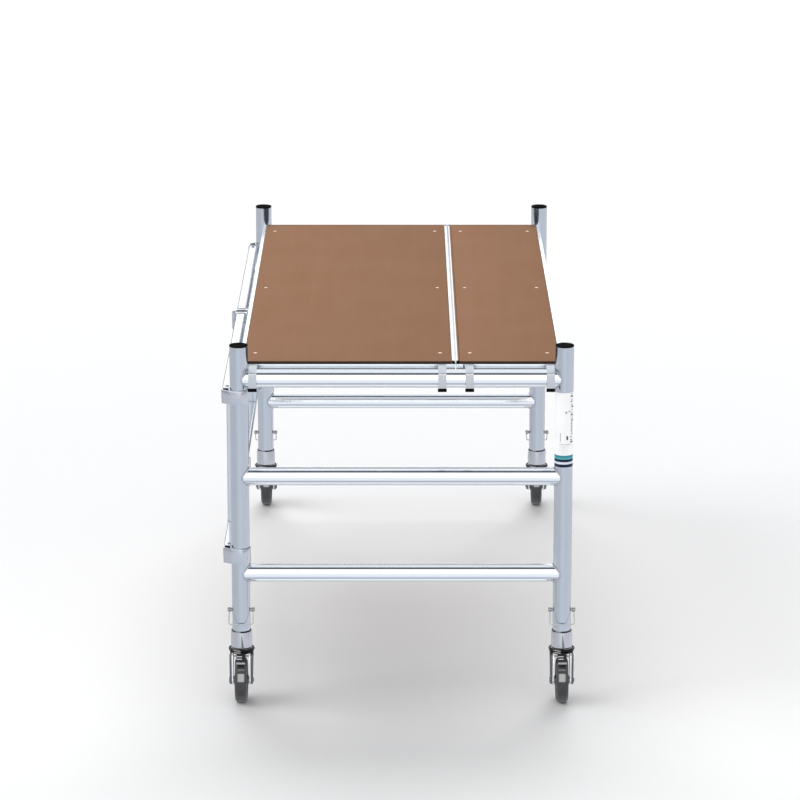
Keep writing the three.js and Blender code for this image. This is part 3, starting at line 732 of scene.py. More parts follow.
def cut(body, cutter):
    """The body minus the cutter."""
    solids = []
    for name, shape in (("cut_body", body), ("cut_tool", cutter)):
        mesh = bpy.data.meshes.new(name)
        mesh.from_pydata(shape.verts, [], shape.faces)
        work = bmesh.new()
        work.from_mesh(mesh)
        bmesh.ops.recalc_face_normals(work, faces=work.faces)
        work.to_mesh(mesh)
        work.free()
        solid = bpy.data.objects.new(name, mesh)
        bpy.context.scene.collection.objects.link(solid)
        solids.append(solid)
    modifier = solids[0].modifiers.new("cut", "BOOLEAN")
    modifier.operation = "DIFFERENCE"
    modifier.solver = "EXACT"
    modifier.object = solids[1]
    bpy.context.view_layer.update()
    evaluated = solids[0].evaluated_get(bpy.context.evaluated_depsgraph_get())
    mesh = evaluated.to_mesh()
    result = Shape([tuple(v.co) for v in mesh.vertices],
                   [tuple(p.vertices) for p in mesh.polygons])
    evaluated.to_mesh_clear()
    for solid in solids:
        mesh = solid.data
        bpy.data.objects.remove(solid)
        bpy.data.meshes.remove(mesh)
    return result


PIN_HOLE = Shape().merge(rod_x(4.6, -40, 40, 24), at(0, 0, PIN_Z))


# ------------------------------------------------------------------ uprights
def build_uprights():
    low, high = extent("front_left_upright")[1:]
    foot, rim = low.z, high.z
    tube = lathe([(TUBE_BORE, foot), (TUBE_RADIUS - 0.5, foot), (TUBE_RADIUS, foot + 0.5),
                  (TUBE_RADIUS, rim - 0.5), (TUBE_RADIUS - 0.5, rim), (TUBE_BORE, rim)], 72)
    tube = cut(tube, PIN_HOLE)
    low, high = extent("front_left_tube_cap")[1:]
    skirt, top = low.z, high.z
    cap = lathe([(0, top - 0.9), (9, top - 0.9), (10.2, top - 0.2), (22.5, top - 0.2),
                 (24.4, top - 0.35), (25.3, top - 1.0), (25.7, top - 2.2), (25.7, rim + 0.5),
                 (25.4, rim + 0.3), (22.9, rim + 0.3), (22.9, skirt + 1), (22.2, skirt),
                 (20.2, skirt), (20, rim - 0.5), (0, rim - 0.5)])
    for leg, (x, y, _) in LEGS.items():
        end = leg.split("_")[0] + "_frame"
        make(f"{leg}_upright_tube", tube, UPRIGHT, end, f"{leg}_upright", matrix=at(x, y))
        make(f"{leg}_cap", cap, BLACK, end, f"{leg}_tube_cap", matrix=at(x, y))


# ------------------------------------------------------------------ rungs
def cope(y):
    """Distance from the rung's middle to the upright's face at depth y."""
    return HALF_SPAN - math.sqrt((TUBE_RADIUS + 0.3) ** 2 - y * y)


def rung_shape():
    sides = 96
    shape = Shape()
    for radius, side in ((25.0, -1), (25.0, 1), (23.0, 1), (23.0, -1)):
        for i in range(sides):
            turn = 2 * math.pi * i / sides
            y, z = radius * math.cos(turn), radius * math.sin(turn)
            shape.verts.append((side * cope(y) * MM, y * MM, z * MM))
    for ring in range(4):
        shape.faces += bridge(ring * sides, (ring + 1) % 4 * sides, sides)
    return shape


def rung_weld(side, seed):
    """Weld bead round a coped joint, laid in short overlapping ripples."""
    dice = random.Random(seed)
    steps, ripples, radius = 200, 52, 25.3
    y_limit = 24.9
    points, radii = [], []
    phase = dice.random() * 6.28
    for i in range(steps):
        turn = 2 * math.pi * i / steps
        y, z = radius * math.cos(turn), radius * math.sin(turn)
        inner_y = max(-y_limit, min(y_limit, y))
        ripple = (i * ripples / steps + phase) % 1.0
        radii.append(2.0 + 0.42 * (1 - ripple) + 0.22 * math.sin(3 * turn + phase)
                     + dice.uniform(-0.05, 0.05))
        points.append((side * (cope(inner_y * 0.985) - 0.6), y, z))
    return sweep(points, radii, closed=True)


def build_rungs():
    tube = rung_shape()
    seed = 0
    for end in ("front", "rear"):
        for level in ("top", "middle", "bottom"):
            name = f"{end}_{level}_rung"
            middle = extent(name)[0]
            place = at(MID_X, middle.y, middle.z)
            make(f"{name}_tube", tube, RUNG, f"{end}_frame", name, angle=50, matrix=place)
            for side, tag in ((-1, "left"), (1, "right")):
                seed += 1
                make(f"{end}_{level}_weld_{tag}", rung_weld(side, seed), WELD, f"{end}_frame",
                     slot="aluminium_tube", angle=80, matrix=place)


# ------------------------------------------------------------------ collars
def facing(loop, side):
    """The loop as drawn for the front panel, or mirrored in Y for the rear one."""
    return loop if side > 0 else [(u, -v) for u, v in loop][::-1]


def build_collars():
    wing = fillet([(-1.6, -28.55), (-27, -22.4), (-48, -8), (-48, 21), (-19.6, 21)],
                  [0, 10, 5, 3, 0], 6, closed=False)
    outer = arc(0, 0, 28.6, 133, -93, 60) + wing[1:-1] + [(-20.2, 21.0)]
    bore = arc(0, 0, 26.0, 0, 354, 59)
    pocket = ([(-44.6, -5.9), (-44.6, 17.6), (-23.2, 17.6)]
              + arc(0, 0, 29.0, 142.6, 221.5, 14)[1:] + [(-26.4, -18.6)])
    gap_shade = arc(0, 0, 28.3, -84, -8, 24) + arc(0, 0, 25.6, -8, -84, 24)
    bolt = lathe([(0, -48.4), (5.6, -48.4), (6.4, -48.1), (6.4, -47.2), (0, -47.2)], 32, "x")
    for end, side in PANELS:
        x, y = LEGS[f"{end}_left"][:2]
        body, place = f"{end}_panel", at(x, y)
        loops = [facing(loop, side) for loop in (outer, bore, pocket)]
        for level in ("upper", "lower"):
            node_name, name = f"{end}_{level}_hinge_collar", f"{end}_{level}_collar"
            low, high = extent(node_name)[1:]
            make(name, prism(loops, low.z, high.z), COLLAR, body, node_name, matrix=place,
                 bevel=0.8)
            # Painted shade: a black block down inside the pocket
            make(f"{name}_pocket_shade", prism([loops[2]], low.z + 1.5, high.z - 2.2), BLACK, body,
                 matrix=place)
            # Painted shade: a dark strip on the collar top, where the join between collar and tube
            # looks dark
            make(f"{name}_gap", prism([facing(gap_shade, side)], high.z - 0.2, high.z + 0.9), NUT,
                 body, matrix=place)
            make(f"{name}_bolt", bolt, ZINC, body,
                 matrix=at(x, y + side * 8, (low.z + high.z) / 2))


# ------------------------------------------------------------------ folding panels
def panel_y(offset, side):
    """Y at an offset from the panel's upright towards the middle."""
    return side * (FRONT_Y + offset)


def leaf_rails(side):
    """Two rails and the strut between them."""
    shape = Shape()
    start, end = panel_y(21.3, side), panel_y(-FRONT_Y - 30.0, side)
    for bottom, top in (UPPER_RAIL, LOWER_RAIL):
        shape.merge(profile_bar((28, 30), (RAIL_X, (bottom + top) / 2), (5, 3.4), 6,
                                start, end, "xz"))
    return shape.merge(profile_bar((28, 28), (RAIL_X, panel_y(STRUT_OFFSET, side)), (5, 3.4), 6,
                                   LOWER_RAIL[1] - 0.5, UPPER_RAIL[0] + 0.5, "xy"))


def leaf_post(side):
    """Post beside the mid hinge, closed at both ends."""
    x, y = (POST_OUT + POST_IN) / 2, -side * 15.5
    shape = profile_bar((34, 30), (x, y), (2.2, 1.0), 4, LOWER_RAIL[0], UPPER_RAIL[1], "xy")
    for z in (LOWER_RAIL[0] + 0.2, UPPER_RAIL[1] - 2.2):
        shape.merge(prism([rounded(30.2, 26.2, 1.0, 4, x, y)], z, z + 2))
    return shape


def build_hinge(end, side, level, bottom, top):
    """One panel's half of a mid hinge: barrel, leaf wrapped on to the post and two rivets."""
    middle = (bottom + top) / 2
    low, high = (bottom, middle - 0.4) if side > 0 else (middle + 0.4, top)
    barrel = lathe([(4.0, low), (6.5, low), (7.0, low + 0.6), (7.0, high - 0.6), (6.5, high),
                    (4.0, high)], 40)
    outline = [(HINGE_X + 1.5, -5.9), (HINGE_X - 3.5, -5.6), (POST_OUT - 0.9, -9.0),
               (POST_OUT - 2.9, -13.0), (POST_OUT - 2.9, -29), (POST_OUT + 0.2, -29),
               (POST_OUT + 0.2, -5.9)]
    plate = fillet(facing(outline, side), [0, 1.0, 2.0, 1.0, 0.8, 0, 0], 3)
    body = f"{end}_panel"
    make(f"{end}_{level}_knuckle", barrel, CAST, body, slot="aluminium_profile",
         matrix=at(HINGE_X, 0))
    make(f"{end}_{level}_hinge_leaf", prism([plate], low, high), CAST, body,
         slot="aluminium_profile", bevel=0.4)
    rivet = lathe([(0, -1.6), (1.6, -1.5), (2.8, -0.9), (3.4, 0), (0, 0)], 24, "x")
    for i, y in enumerate((15.5, 24.5)):
        make(f"{end}_{level}_leaf_rivet_{i}", rivet, ZINC, body,
             matrix=at(POST_OUT - 2.9, -side * y, middle - side * 13))


def leaf_weld(corners, seed):
    """Rippled weld bead along a closed loop."""
    path = []
    for i, corner in enumerate(corners):
        start, end = Vector(corner), Vector(corners[(i + 1) % len(corners)])
        steps = max(1, int((end - start).length / 1.1))
        path += [start.lerp(end, k / steps) for k in range(steps)]
    dice = random.Random(seed)
    radii = [1.35 + 0.32 * (1 - (i * 0.33) % 1.0) + dice.uniform(-0.05, 0.05)
             for i in range(len(path))]
    return sweep(path, radii, 8, closed=True)


def build_leaf_welds(end, side):
    """Beads at both ends of each rail and of the strut."""
    loops = []
    for rail in (UPPER_RAIL, LOWER_RAIL):
        for offset in (21.6, -FRONT_Y - 30.4):
            section = rounded(29.2, 31.2, 5.4, 8, RAIL_X, sum(rail) / 2)
            loops.append([(x, panel_y(offset, side), z) for x, z in section])
    for z in (LOWER_RAIL[1] + 0.1, UPPER_RAIL[0] - 0.1):
        section = rounded(29.0, 29.0, 5.2, 8, RAIL_X, panel_y(STRUT_OFFSET, side))
        loops.append([(x, y, z) for x, y in section])
    for i, loop in enumerate(loops):
        make(f"{end}_leaf_weld_{i}", leaf_weld(loop, 100 + i), WELD, f"{end}_panel", angle=80)


def build_drop_rod():
    """Bent rod with a small loop at the foot of the front panel's post."""
    path = [  # x from the post's inner face, z
        (0.4, 437), (3.4, 437.6), (4.7, 435.5), (4.8, 430), (4.8, 404), (4.4, 399.5),
        (2.6, 397.4), (0.4, 398.4), (-0.9, 401.5), (-0.9, 404.6),
    ]
    rod = sweep([(POST_IN + x, -10, z) for x, z in path], 1.5, 12)
    make("lower_drop_rod", rod, ZINC, "front_panel")


def build_keepers():
    """A bolt with a black dot on each upper rail, either side of the latch."""
    bolt = lathe([(0, 4.6), (2.6, 4.6), (3.2, 4.0), (3.2, 1.4), (6.4, 1.4), (6.8, 1.0),
                  (6.8, -0.2), (0, -0.2)], 36, "x")
    dot = lathe([(0, 5.2), (2.0, 5.1), (2.9, 4.5), (2.9, 3.9), (0, 3.9)], 28, "x")
    for end, y in (("front", -112), ("rear", 118)):
        place = at(RAIL_IN, y, 884)
        make(f"{end}_keeper_bolt", bolt, ZINC, f"{end}_panel", matrix=place)
        make(f"{end}_keeper_dot", dot, BLACK, f"{end}_panel", matrix=place)


def build_latch():
    """Bent lever with a raised tab, on a pivot bolt."""
    outline = fillet([(-28, 869), (24, 869), (34, 862), (38, 866), (36, 880), (30, 887),
                      (-28, 887), (-31, 878)], [6, 9, 2.2, 2.2, 5, 4, 6, 4])
    thick = 4
    inner = POST_IN + 0.5
    face = inner + thick
    pivot_y, pivot_z = -18, 878
    make("latch_lever", prism([outline], inner, face, "yz"), ZINC, "latch", "fold_latch",
         bevel=0.7)
    make("latch_pivot_bolt", hex_head(10, 0.0, 4.6), ZINC, "latch",
         matrix=at(face - 0.2, pivot_y, pivot_z), bevel=0.2)
    washer = lathe([(3.9, 0), (7.6, 0), (7.6, 0.9), (7.2, 1.2), (3.9, 1.2)], 36, "x")
    make("latch_pivot_washer", washer, ZINC, "latch", matrix=at(face - 0.1, pivot_y, pivot_z))
    make("latch_pivot_stub", rod_x(3.9, -4.4, 0.2, 24), ZINC, "latch",
         matrix=at(inner, pivot_y, pivot_z))


def build_panels():
    hinges = []  # level, pin centre, pin bottom, pin top
    for level in ("upper", "lower"):
        middle, low, high = extent(f"{level}_mid_hinge_pin")
        hinges.append((level, middle, low.z, high.z))
    rail_bolt = lathe([(0, 2.6), (3.2, 2.5), (4.6, 1.8), (5.4, 0.6), (5.6, -0.1), (0, -0.1)], 32)
    for end, side in PANELS:
        body = f"{end}_panel"
        make(f"{end}_leaf_rails", leaf_rails(side), PANEL, body, f"{end}_folding_panel")
        make(f"{end}_leaf_post", leaf_post(side), PANEL, body)
        for level, _, foot, top in hinges:
            build_hinge(end, side, level, foot + 3, top - 3)
        # Black strips on both ends of the post, along the edge that meets the other leaf
        for tag, z in (("upper", UPPER_RAIL[1]), ("lower", LOWER_RAIL[1] - 31.2)):
            strip = box((POST_OUT + 0.5, POST_IN - 0.3), (-side * 0.6, -side * 6.0),
                        (z - 0.4, z + 1.2))
            make(f"{end}_{tag}_bump_strip", strip, TIP, body, bevel=0.3)
        build_leaf_welds(end, side)
        # Bolt head on each rail, just past the collar wing
        for tag, rail in (("upper", UPPER_RAIL), ("lower", LOWER_RAIL)):
            make(f"{end}_{tag}_rail_bolt", rail_bolt, ZINC, body,
                 matrix=at(RAIL_X, panel_y(44, side), rail[1]))
    build_drop_rod()
    build_keepers()
    for level, middle, foot, top in hinges:
        low, high = foot + 3, top - 3  # the knuckles' span
        pin = lathe([(0, foot + 0.2), (4.6, foot + 0.2), (5.7, foot + 0.9), (6, low - 0.5),
                     (3.4, low - 0.4), (3.4, high + 0.4), (6, high + 0.5), (5.8, top - 1.0),
                     (4.4, top - 0.2), (0, top)], 36)
        make(f"{level}_hinge_pin", pin, ZINC, "front_panel", f"{level}_mid_hinge_pin",
             matrix=at(middle.x, middle.y))
    build_latch()


# ------------------------------------------------------------------ decks
def dress_deck_frame(node):
    """Small bevel on the CAD deck frame, and a metal for each face direction."""
    bevel = node.modifiers.new("edge", "BEVEL")
    bevel.width = 0.0005
    bevel.segments = 2
    bevel.limit_method = "ANGLE"
    bevel.angle_limit = math.radians(40)
    node.data.materials.clear()
    for mat in (EDGE_RAIL, END_RAIL, SEAM_RAIL):
        node.data.materials.append(mat.material)
    for face in node.data.polygons:
        centre = node.matrix_world @ face.center
        by_seam = 0.1 < centre.x < 0.2 and centre.z > 0.96
        if abs(face.normal.y) > 0.7:
            face.material_index = 1
        else:
            face.material_index = 2 if by_seam and abs(face.normal.z) > 0.7 else 0


def build_deck_end(deck, end, side, board, rail, seam):
    """Lips, dark lines of painted shade and open rail ends at one end of a deck; side is the
    outward Y sign.
    """
    body = f"{deck}_deck"
    name = f"{deck}_{end}"
    low, high = board
    end_y = high.y if side > 0 else low.y
    seam_x, inward = seam
    across = (rail[0] + 1.0, rail[1] - 1.0)

    def depth(outwards, inwards):
        return (end_y + side * outwards, end_y - side * inwards)

    make(f"{name}_edge_lip", box(across, depth(0.9, 0.5), (low.z - 9.5, low.z + 2.0)), END_RAIL,
         body, bevel=0.3)
    # Painted shade: a dark zinc strip under the lip, the shadow line above the rung
    make(f"{name}_lip_shade_line", box(across, depth(0.4, 0.5), (low.z - 12.3, low.z - 9.6)), NUT, body)
    film_edge = box((low.x + 0.4, high.x - 0.4), depth(0.1, 5.5), (high.z - 0.4, high.z + 0.2))
    make(f"{name}_film_edge", film_edge, PLY_EDGE, body)
    # Open end of the rail at the seam: black boxes of painted shade in its mouth and in a notch on
    # top, and the wall beside it
    wall_x = seam_x + inward * (2.6 if deck == "wide" else 1.7)
    mouth = (seam_x + inward * 10.0, wall_x)
    mouth_z = (956.4, 964.8)
    make(f"{name}_rail_mouth_shade", box(mouth, depth(0.6, 0.2), mouth_z), TIP, body)
    make(f"{name}_rail_notch_shade", box(mouth, depth(0.4, 11.0), (964.6, 965.28)), TIP, body)
    make(f"{name}_rail_wall", box((wall_x, seam_x + inward * 0.1), depth(0.6, 0.2), mouth_z),
         PALE_INK, body, slot="aluminium_profile")
    if deck == "narrow" and end == "front":
        hook_x = extent("narrow_deck_hook_front_left")[1].x
        # A small dark zinc box just left of the hook
        catch = box((hook_x - 6.5, hook_x - 2.0), (end_y - 1.3, end_y - 0.4),
                    (low.z - 9.0, low.z + 1.5))
        make("narrow_deck_hook_side_mark", catch, NUT, body, bevel=0.2)


def build_decks():
    rivet = lathe([(0, 1.1), (2.0, 1.0), (2.4, 0.55), (3.6, 0.5), (4.9, 0.2), (5.1, -0.3),
                   (0, -0.3)], 32)
    for deck in ("wide", "narrow"):
        body = f"{deck}_deck"
        low, high = extent(f"{deck}_deck_plywood")[1:]
        solid = box((low.x, high.x), (low.y, high.y), (low.z, high.z))
        board = make(f"{deck}_board", solid, FILM, body, f"{deck}_deck_plywood", bevel=0.6)
        board.data.materials.append(PLY_EDGE.material)
        for face in board.data.polygons:
            face.material_index = 0 if abs(face.normal.z) > 0.5 else 1
        dress_deck_frame(NODES[f"{deck}_deck_frame"])
        frame_low, frame_high = extent(f"{deck}_deck_frame")[1:]
        rail = (frame_low.x, frame_high.x)
        # The wide deck meets the seam with its right side, the narrow one with its left
        seam_x, inward = seam = (rail[1], -1) if deck == "wide" else (rail[0], 1)
        for end, side in (("front", -1), ("rear", 1)):
            build_deck_end(deck, end, side, (low, high), rail, seam)
        # Painted shade: a grey strip along the rail edges at the seam, darker to the rear
        edge = box((seam_x + inward * 1.7, seam_x + inward * 0.05), (-941.0, 941.0),
                   (high.z - 0.4, high.z + 0.15))
        make(f"{deck}_seam_edge_shade", edge, SEAM_EDGE_SHADE, body)
        if deck == "narrow":
            # Film that laps on to the rail
            lap = box((low.x - 4.4, low.x + 0.4), (-941.3, 941.3), (high.z - 0.4, high.z + 0.22))
            make("narrow_film_lap", lap, FILM, body, bevel=0.1)
        places = [(x, y) for y in (-838, 0, 838) for x in (rail[0] + 40.2, rail[1] - 41.8)]
        for i, (x, y) in enumerate(places, 1):
            make(f"{deck}_board_rivet_{i}", rivet, RIVET, body, matrix=at(x, y, high.z))


# ------------------------------------------------------------------ hooks
def hook_outline():
    """Flat bar bent over the rung, drawn in YZ as its middle line and half its thickness."""
    rung_z, half_thick = 925.0, 1.5
    path = fillet([(31.4, rung_z + 5), (31.4, rung_z + 34.2), (-31.7, rung_z + 21.6),
                   (-31.7, rung_z - 29.4)], [0, 3.4, 6.0, 0], 7, closed=False)
    outer, inner = [], []
    for i, (y, z) in enumerate(path):
        before = Vector((*path[max(i - 1, 0)], 0))
        after = Vector((*path[min(i + 1, len(path) - 1)], 0))
        tangent = (after - before).normalized()
        shift_y, shift_z = tangent.y * half_thick, -tangent.x * half_thick
        outer.append((y + shift_y, z + shift_z))
        inner.append((y - shift_y, z - shift_z))
    return outer + inner[::-1]


def build_hooks():
    bar = prism([hook_outline()], -11, 11, "yz")
    tip = prism([rounded(24.4, 5.0, 1.2, 4, 0, -31.7)], 895.0, 904.2)
    for deck in ("wide", "narrow"):
        for end, y, turn in (("front", FRONT_Y, 0.0), ("rear", -FRONT_Y, math.pi)):
            for side in ("left", "right"):
                name = f"{deck}_deck_hook_{end}_{side}"
                place = at(extent(name)[0].x, y, 0, turn)
                make(f"{name}_bar", bar, HOOK, f"{deck}_deck", name, matrix=place, bevel=0.5)
                make(f"{name}_tip", tip, TIP, f"{deck}_deck", matrix=place, bevel=0.6)


# ------------------------------------------------------------------ casters
# Drawn on the swivel axis x = y = 0 with the wheel trailing towards -Y.
AXLE_Y, AXLE_Z = -38, 62.5
PEDAL_Y, PEDAL_Z = -45.0, 134.0
FORK_FACE = 26.4  # where the axle washers start, from the middle plane


def wedge(corners):
    """Block from four front corners and the four behind them."""
    return Shape([tuple(value * MM for value in corner) for corner in corners],
                 [(0, 1, 2, 3), (7, 6, 5, 4), (0, 4, 5, 1), (1, 5, 6, 2), (2, 6, 7, 3),
                  (3, 7, 4, 0)])


def stem_shape():
    """Stem and collar, with the pin hole and a tapering groove in the front."""
    stem = lathe([(0, 124), (7.4, 124), (8, 124.8), (8, 150), (27.6, 150), (29.5, 151.6),
                  (29.5, 193.6), (28.9, 195.6), (27.2, 196.7), (23, 196.7), (23, 291.4),
                  (22.4, 292), (20, 292), (20, 162), (0, 162)])
    groove = wedge([(1.0, -32, 190), (2.0, -32, 190), (8.2, -32, 149), (0.6, -32, 149),
                    (1.0, -27.8, 190), (2.0, -27.8, 190), (8.0, -26.6, 149), (0.6, -27.6, 149)])
    return cut(cut(stem, PIN_HOLE), groove)


def fork_shapes():
    """Flat web and raised rim of the fork, keyed by side."""
    corners = [  # y, z, corner radius
        (22, 136, 3), (-30, 136, 6), (-36, 141, 5), (-51, 140, 5), (-53, 128, 14),
        (-51, 58, 12), (-43, 48, 8), (-33, 48, 8), (-25, 56, 14), (22, 118, 5),
    ]
    outline = fillet([(y, z) for y, z, _ in corners], [radius for _, _, radius in corners], 6)
    axle_hole = arc(AXLE_Y, AXLE_Z, 6.5, 0, 345, 23)[::-1]
    pedal_hole = arc(PEDAL_Y, PEDAL_Z, 3.5, 0, 345, 23)[::-1]
    rim = [inset(outline, 2.2), inset(outline, 4.8)[::-1]]
    webs = {side: prism([outline, axle_hole, pedal_hole], side * 23, side * 26, "yz")
            for side in SIDES}
    rims = {side: prism(rim, side * 25.7, side * 32.4, "yz") for side in SIDES}
    return webs, rims


def wheel_ribs():
    shape = Shape()
    for i in range(8):
        for side in SIDES:
            rib = box((side * 8.2, side * 12.6), (-1.6, 1.6), (14.5, 43.2))
            shape.merge(rib, Matrix.Rotation(2 * math.pi * i / 8, 4, "X"))
    return shape


def pedal_shapes():
    """Tongue, grip bars, nose and pivot pin of the brake pedal."""
    tongue = fillet([(PEDAL_Y + 4, PEDAL_Z + 5), (PEDAL_Y + 3, PEDAL_Z - 3),
                     (PEDAL_Y - 8, PEDAL_Z - 4), (-76, 121), (-80, 122), (-80, 126),
                     (-74, 128.5), (PEDAL_Y - 10, PEDAL_Z + 4), (PEDAL_Y - 4, PEDAL_Z + 8.5)],
                    [3, 2.5, 6, 2, 1.6, 1.8, 4, 8, 3])
    nose = fillet([(-81.2, 121.4), (-79.0, 120.2), (-76.6, 120.6), (-77.6, 124.4),
                   (-79.0, 127.0), (-80.6, 126.6)], 0.5, 3)
    grip = Shape()
    for y, z in ((-58.5, 137.4), (-67.5, 133.2)):
        path = [(-11.6 + 15 * i / 8, y, z - 0.9 - 0.5 * (abs(i - 4) / 4) ** 2) for i in range(9)]
        grip.merge(sweep(path, [1.2] + [1.9] * 7 + [1.2]))
    pin = rod_x(3.0, -25.6, 25.6, 28)
    pin.merge(both_ends_x([(0, 25.4), (3.1, 25.5), (3.1, 26.3), (0, 26.5)], 28))
    half_width = 12.4
    return (prism([tongue], -half_width, half_width, "yz"), grip,
            prism([nose], -half_width, half_width, "yz"), pin)


def bail_shape():
    """Wire loop hanging forwards and down from the ends of the lock pin."""
    lean, reach, half_width = math.radians(41), 46.0, 34.0
    flat = fillet([(-half_width, 0.0), (-half_width, reach), (half_width, reach),
                   (half_width, 0.0)], [0, 6.5, 6.5, 0], 8, closed=False)
    path = [(x, -math.sin(lean) * out, -math.cos(lean) * out) for x, out in flat]
    return sweep(path, 1.5, 14)


def caster_parts():
    """Rows of: name, shape, material, body, local placement, options for make."""
    # Painted shade: a dark wedge inside the groove cut in the front of the stem's collar
    pinch_gap = wedge([(0.9, -29.0, 190.4), (2.1, -29.0, 190.4), (8.0, -27.9, 149.4),
                       (0.8, -28.9, 149.4), (0.9, -27.4, 190.4), (2.1, -27.4, 190.4),
                       (8.0, -26.2, 149.4), (0.8, -27.2, 149.4)])
    seal = lathe([(25.6, 196.3), (27.4, 196.3), (28.2, 197.0), (28.3, 198.2), (27.6, 199.2),
                  (26.4, 199.6), (25.6, 199.4)], 72)
    dish = lathe([(12, 136.4), (24, 136.4), (28.0, 135.0), (31.5, 134.4), (33.6, 135.4),
                  (34.4, 137.4), (34.2, 139.4), (33.2, 140.4), (12, 140.4)], 72)
    ring = lathe([(12, 140.6), (33.0, 140.6), (35.4, 141.0), (36.5, 142.3), (36.6, 144.6),
                  (36.0, 146.4), (34.6, 147.4), (33.0, 147.3), (32.0, 145.8), (31.0, 144.4),
                  (12, 144.2)], 72)
    plate = lathe([(8.8, 144.0), (28.6, 144.0), (29.4, 144.8), (29.4, 147.2), (28.6, 147.9),
                   (8.8, 147.9)], 56)
    race = lathe([(9.0, 128.5), (19, 128.5), (21.5, 130), (22.5, 133), (22.5, 136.4),
                  (9.0, 136.4)], 56)
    webs, rims = fork_shapes()
    tyre = lathe(mirrored_profile([
        (46.5, -13.2), (49.0, -16.2), (50.6, -17), (54.5, -17), (57.2, -16.4), (60.6, -13.4),
        (62.2, -11.6), (62.5, -10.8)]), 96, "x")
    core = lathe(mirrored_profile([
        (7.0, -20.3), (13, -20.3), (14.2, -19.6), (15.5, -12), (20, -8.5), (38, -8.5),
        (41.5, -11), (43, -13.6), (47.2, -13.9)]), 72, "x")
    bearing = both_ends_x([(6.9, 19.6), (11.6, 19.6), (12.2, 20.5), (7.0, 20.6)], 40)
    face = FORK_FACE
    nut = hex_head(15.5, face + 0.9, face + 6.4)
    nut.merge(lathe([(3.2, face + 6.2), (6.8, face + 6.2), (6.4, face + 8.2), (3.6, face + 8.6),
                     (3.2, face + 8.6)], 36, "x"))
    axle_end = lathe([(0, face + 6), (5.2, face + 6), (5.2, face + 8.0), (4.6, face + 8.9),
                      (0, face + 8.9)], 32, "x")
    tongue, grip, nose, pedal_pin = pedal_shapes()
    lock_pin = lathe(mirrored_profile([
        (0, -38), (4.6, -38), (5.7, -37.3), (6, -36), (6, -29.2), (5.6, -28.4), (4, -28)]),
        40, "x")
    home, axle = at(0, 0), at(0, AXLE_Y, AXLE_Z)
    pivot, lock = at(0, PEDAL_Y, PEDAL_Z), at(0, 0, PIN_Z)
    return [
        ("stem", stem_shape(), CAST, "frame", home, {"replaces": "caster_stem"}),
        ("pinch_gap", pinch_gap, NUT, "frame", home, {}),
        ("tube_seal", seal, RING, "frame", home, {"angle": 60}),
        ("dust_dish", dish, RING, "caster", home, {"angle": 60}),
        ("swivel_ring", ring, RING, "caster", home, {"replaces": "caster_fork"}),
        ("swivel_plate", plate, ZINC, "caster", home, {}),
        ("ball_race", race, ZINC, "caster", home, {}),
        ("fork_web_a", webs[-1], CHROME, "caster", home, {"bevel": 0.4}),
        ("fork_rim_a", rims[-1], FORK_SIDE, "caster", home, {"bevel": 0.7}),
        ("fork_web_b", webs[1], CHROME, "caster", home, {"bevel": 0.4}),
        ("fork_rim_b", rims[1], FORK_SIDE, "caster", home, {"bevel": 0.7}),
        ("tyre", tyre, TYRE, "wheel", axle, {"replaces": "caster_wheel", "angle": 24}),
        ("wheel_core", core, HUB, "wheel", axle, {}),
        ("wheel_ribs", wheel_ribs(), HUB, "wheel", axle, {"bevel": 0.4}),
        ("wheel_bearing", bearing, ZINC, "wheel", axle, {}),
        ("axle_shaft", rod_x(6, -face, face, 36), ZINC, "caster", axle,
         {"replaces": "wheel_axle"}),
        ("axle_head", hex_head(15.5, -face - 0.9, -face - 8.0), NUT, "caster", axle, {}),
        ("axle_nut", nut, NUT, "caster", axle, {}),
        ("axle_end", axle_end, ZINC, "caster", axle, {}),
        ("axle_washers", washers_x(6.2, 9.6, face, face + 1.1, 40), ZINC, "caster", axle, {}),
        ("axle_spacers", washers_x(6.2, 8.8, 20.7, 22.9, 36), ZINC, "caster", axle, {}),
        ("pedal_nose", nose, ZINC, "pedal", home, {"bevel": 0.3}),
        ("pedal_tongue", tongue, PEDAL, "pedal", home, {"replaces": "brake_pedal", "bevel": 0.6}),
        ("pedal_grip", grip, WIRE, "pedal", home, {}),
        ("pedal_pin", pedal_pin, ZINC, "pedal", pivot, {}),
        ("lock_pin", lock_pin, PIN, "pin", lock, {"replaces": "snap_pin"}),
        ("pin_bail", bail_shape(), WIRE, "pin", lock, {}),
    ]


def build_casters():
    parts = caster_parts()
    for leg, (x, y, turn) in LEGS.items():
        for name, shape, mat, body, local, options in parts:
            # The stem parts stay with the end frame, the rest with this leg's moving bodies
            owner = leg.split("_")[0] if body == "frame" else leg
            options = dict(options)
            if "replaces" in options:
                options["replaces"] = f"{leg}_{options['replaces']}"
            make(f"{leg}_{name}", shape, mat, f"{owner}_{body}",
                 matrix=at(x, y, 0, turn) @ local, **options)


# ------------------------------------------------------------------ sticker
def patch(start, end, bottom, top, radius=25.57, thick=0.05, columns=8, rows=2):
    """Thin curved plate on the upright, from start to end degrees round Z."""
    shape = Shape()
    for ring_radius in (radius, radius + thick):
        for j in range(rows + 1):
            for i in range(columns + 1):
                turn = math.radians(start + (end - start) * i / columns)
                shape.verts.append((ring_radius * MM * math.cos(turn),
                                    ring_radius * MM * math.sin(turn),
                                    (bottom + (top - bottom) * j / rows) * MM))
    wide = columns + 1
    outer = wide * (rows + 1)
    for j in range(rows):
        for i in range(columns):
            k = j * wide + i
            quad = (k, k + 1, k + wide + 1, k + wide)
            shape.faces.append(tuple(index + outer for index in quad))
            shape.faces.append(quad[::-1])
    for i in range(columns):
        k = rows * wide + i
        shape.faces.append((i, i + 1, i + 1 + outer, i + outer))
        shape.faces.append((k + outer, k + 1 + outer, k + 1, k))
    for j in range(rows):
        k = j * wide
        shape.faces.append((k + outer, k + wide + outer, k + wide, k))
        k += columns
        shape.faces.append((k, k + wide, k + wide + outer, k + outer))
    return shape


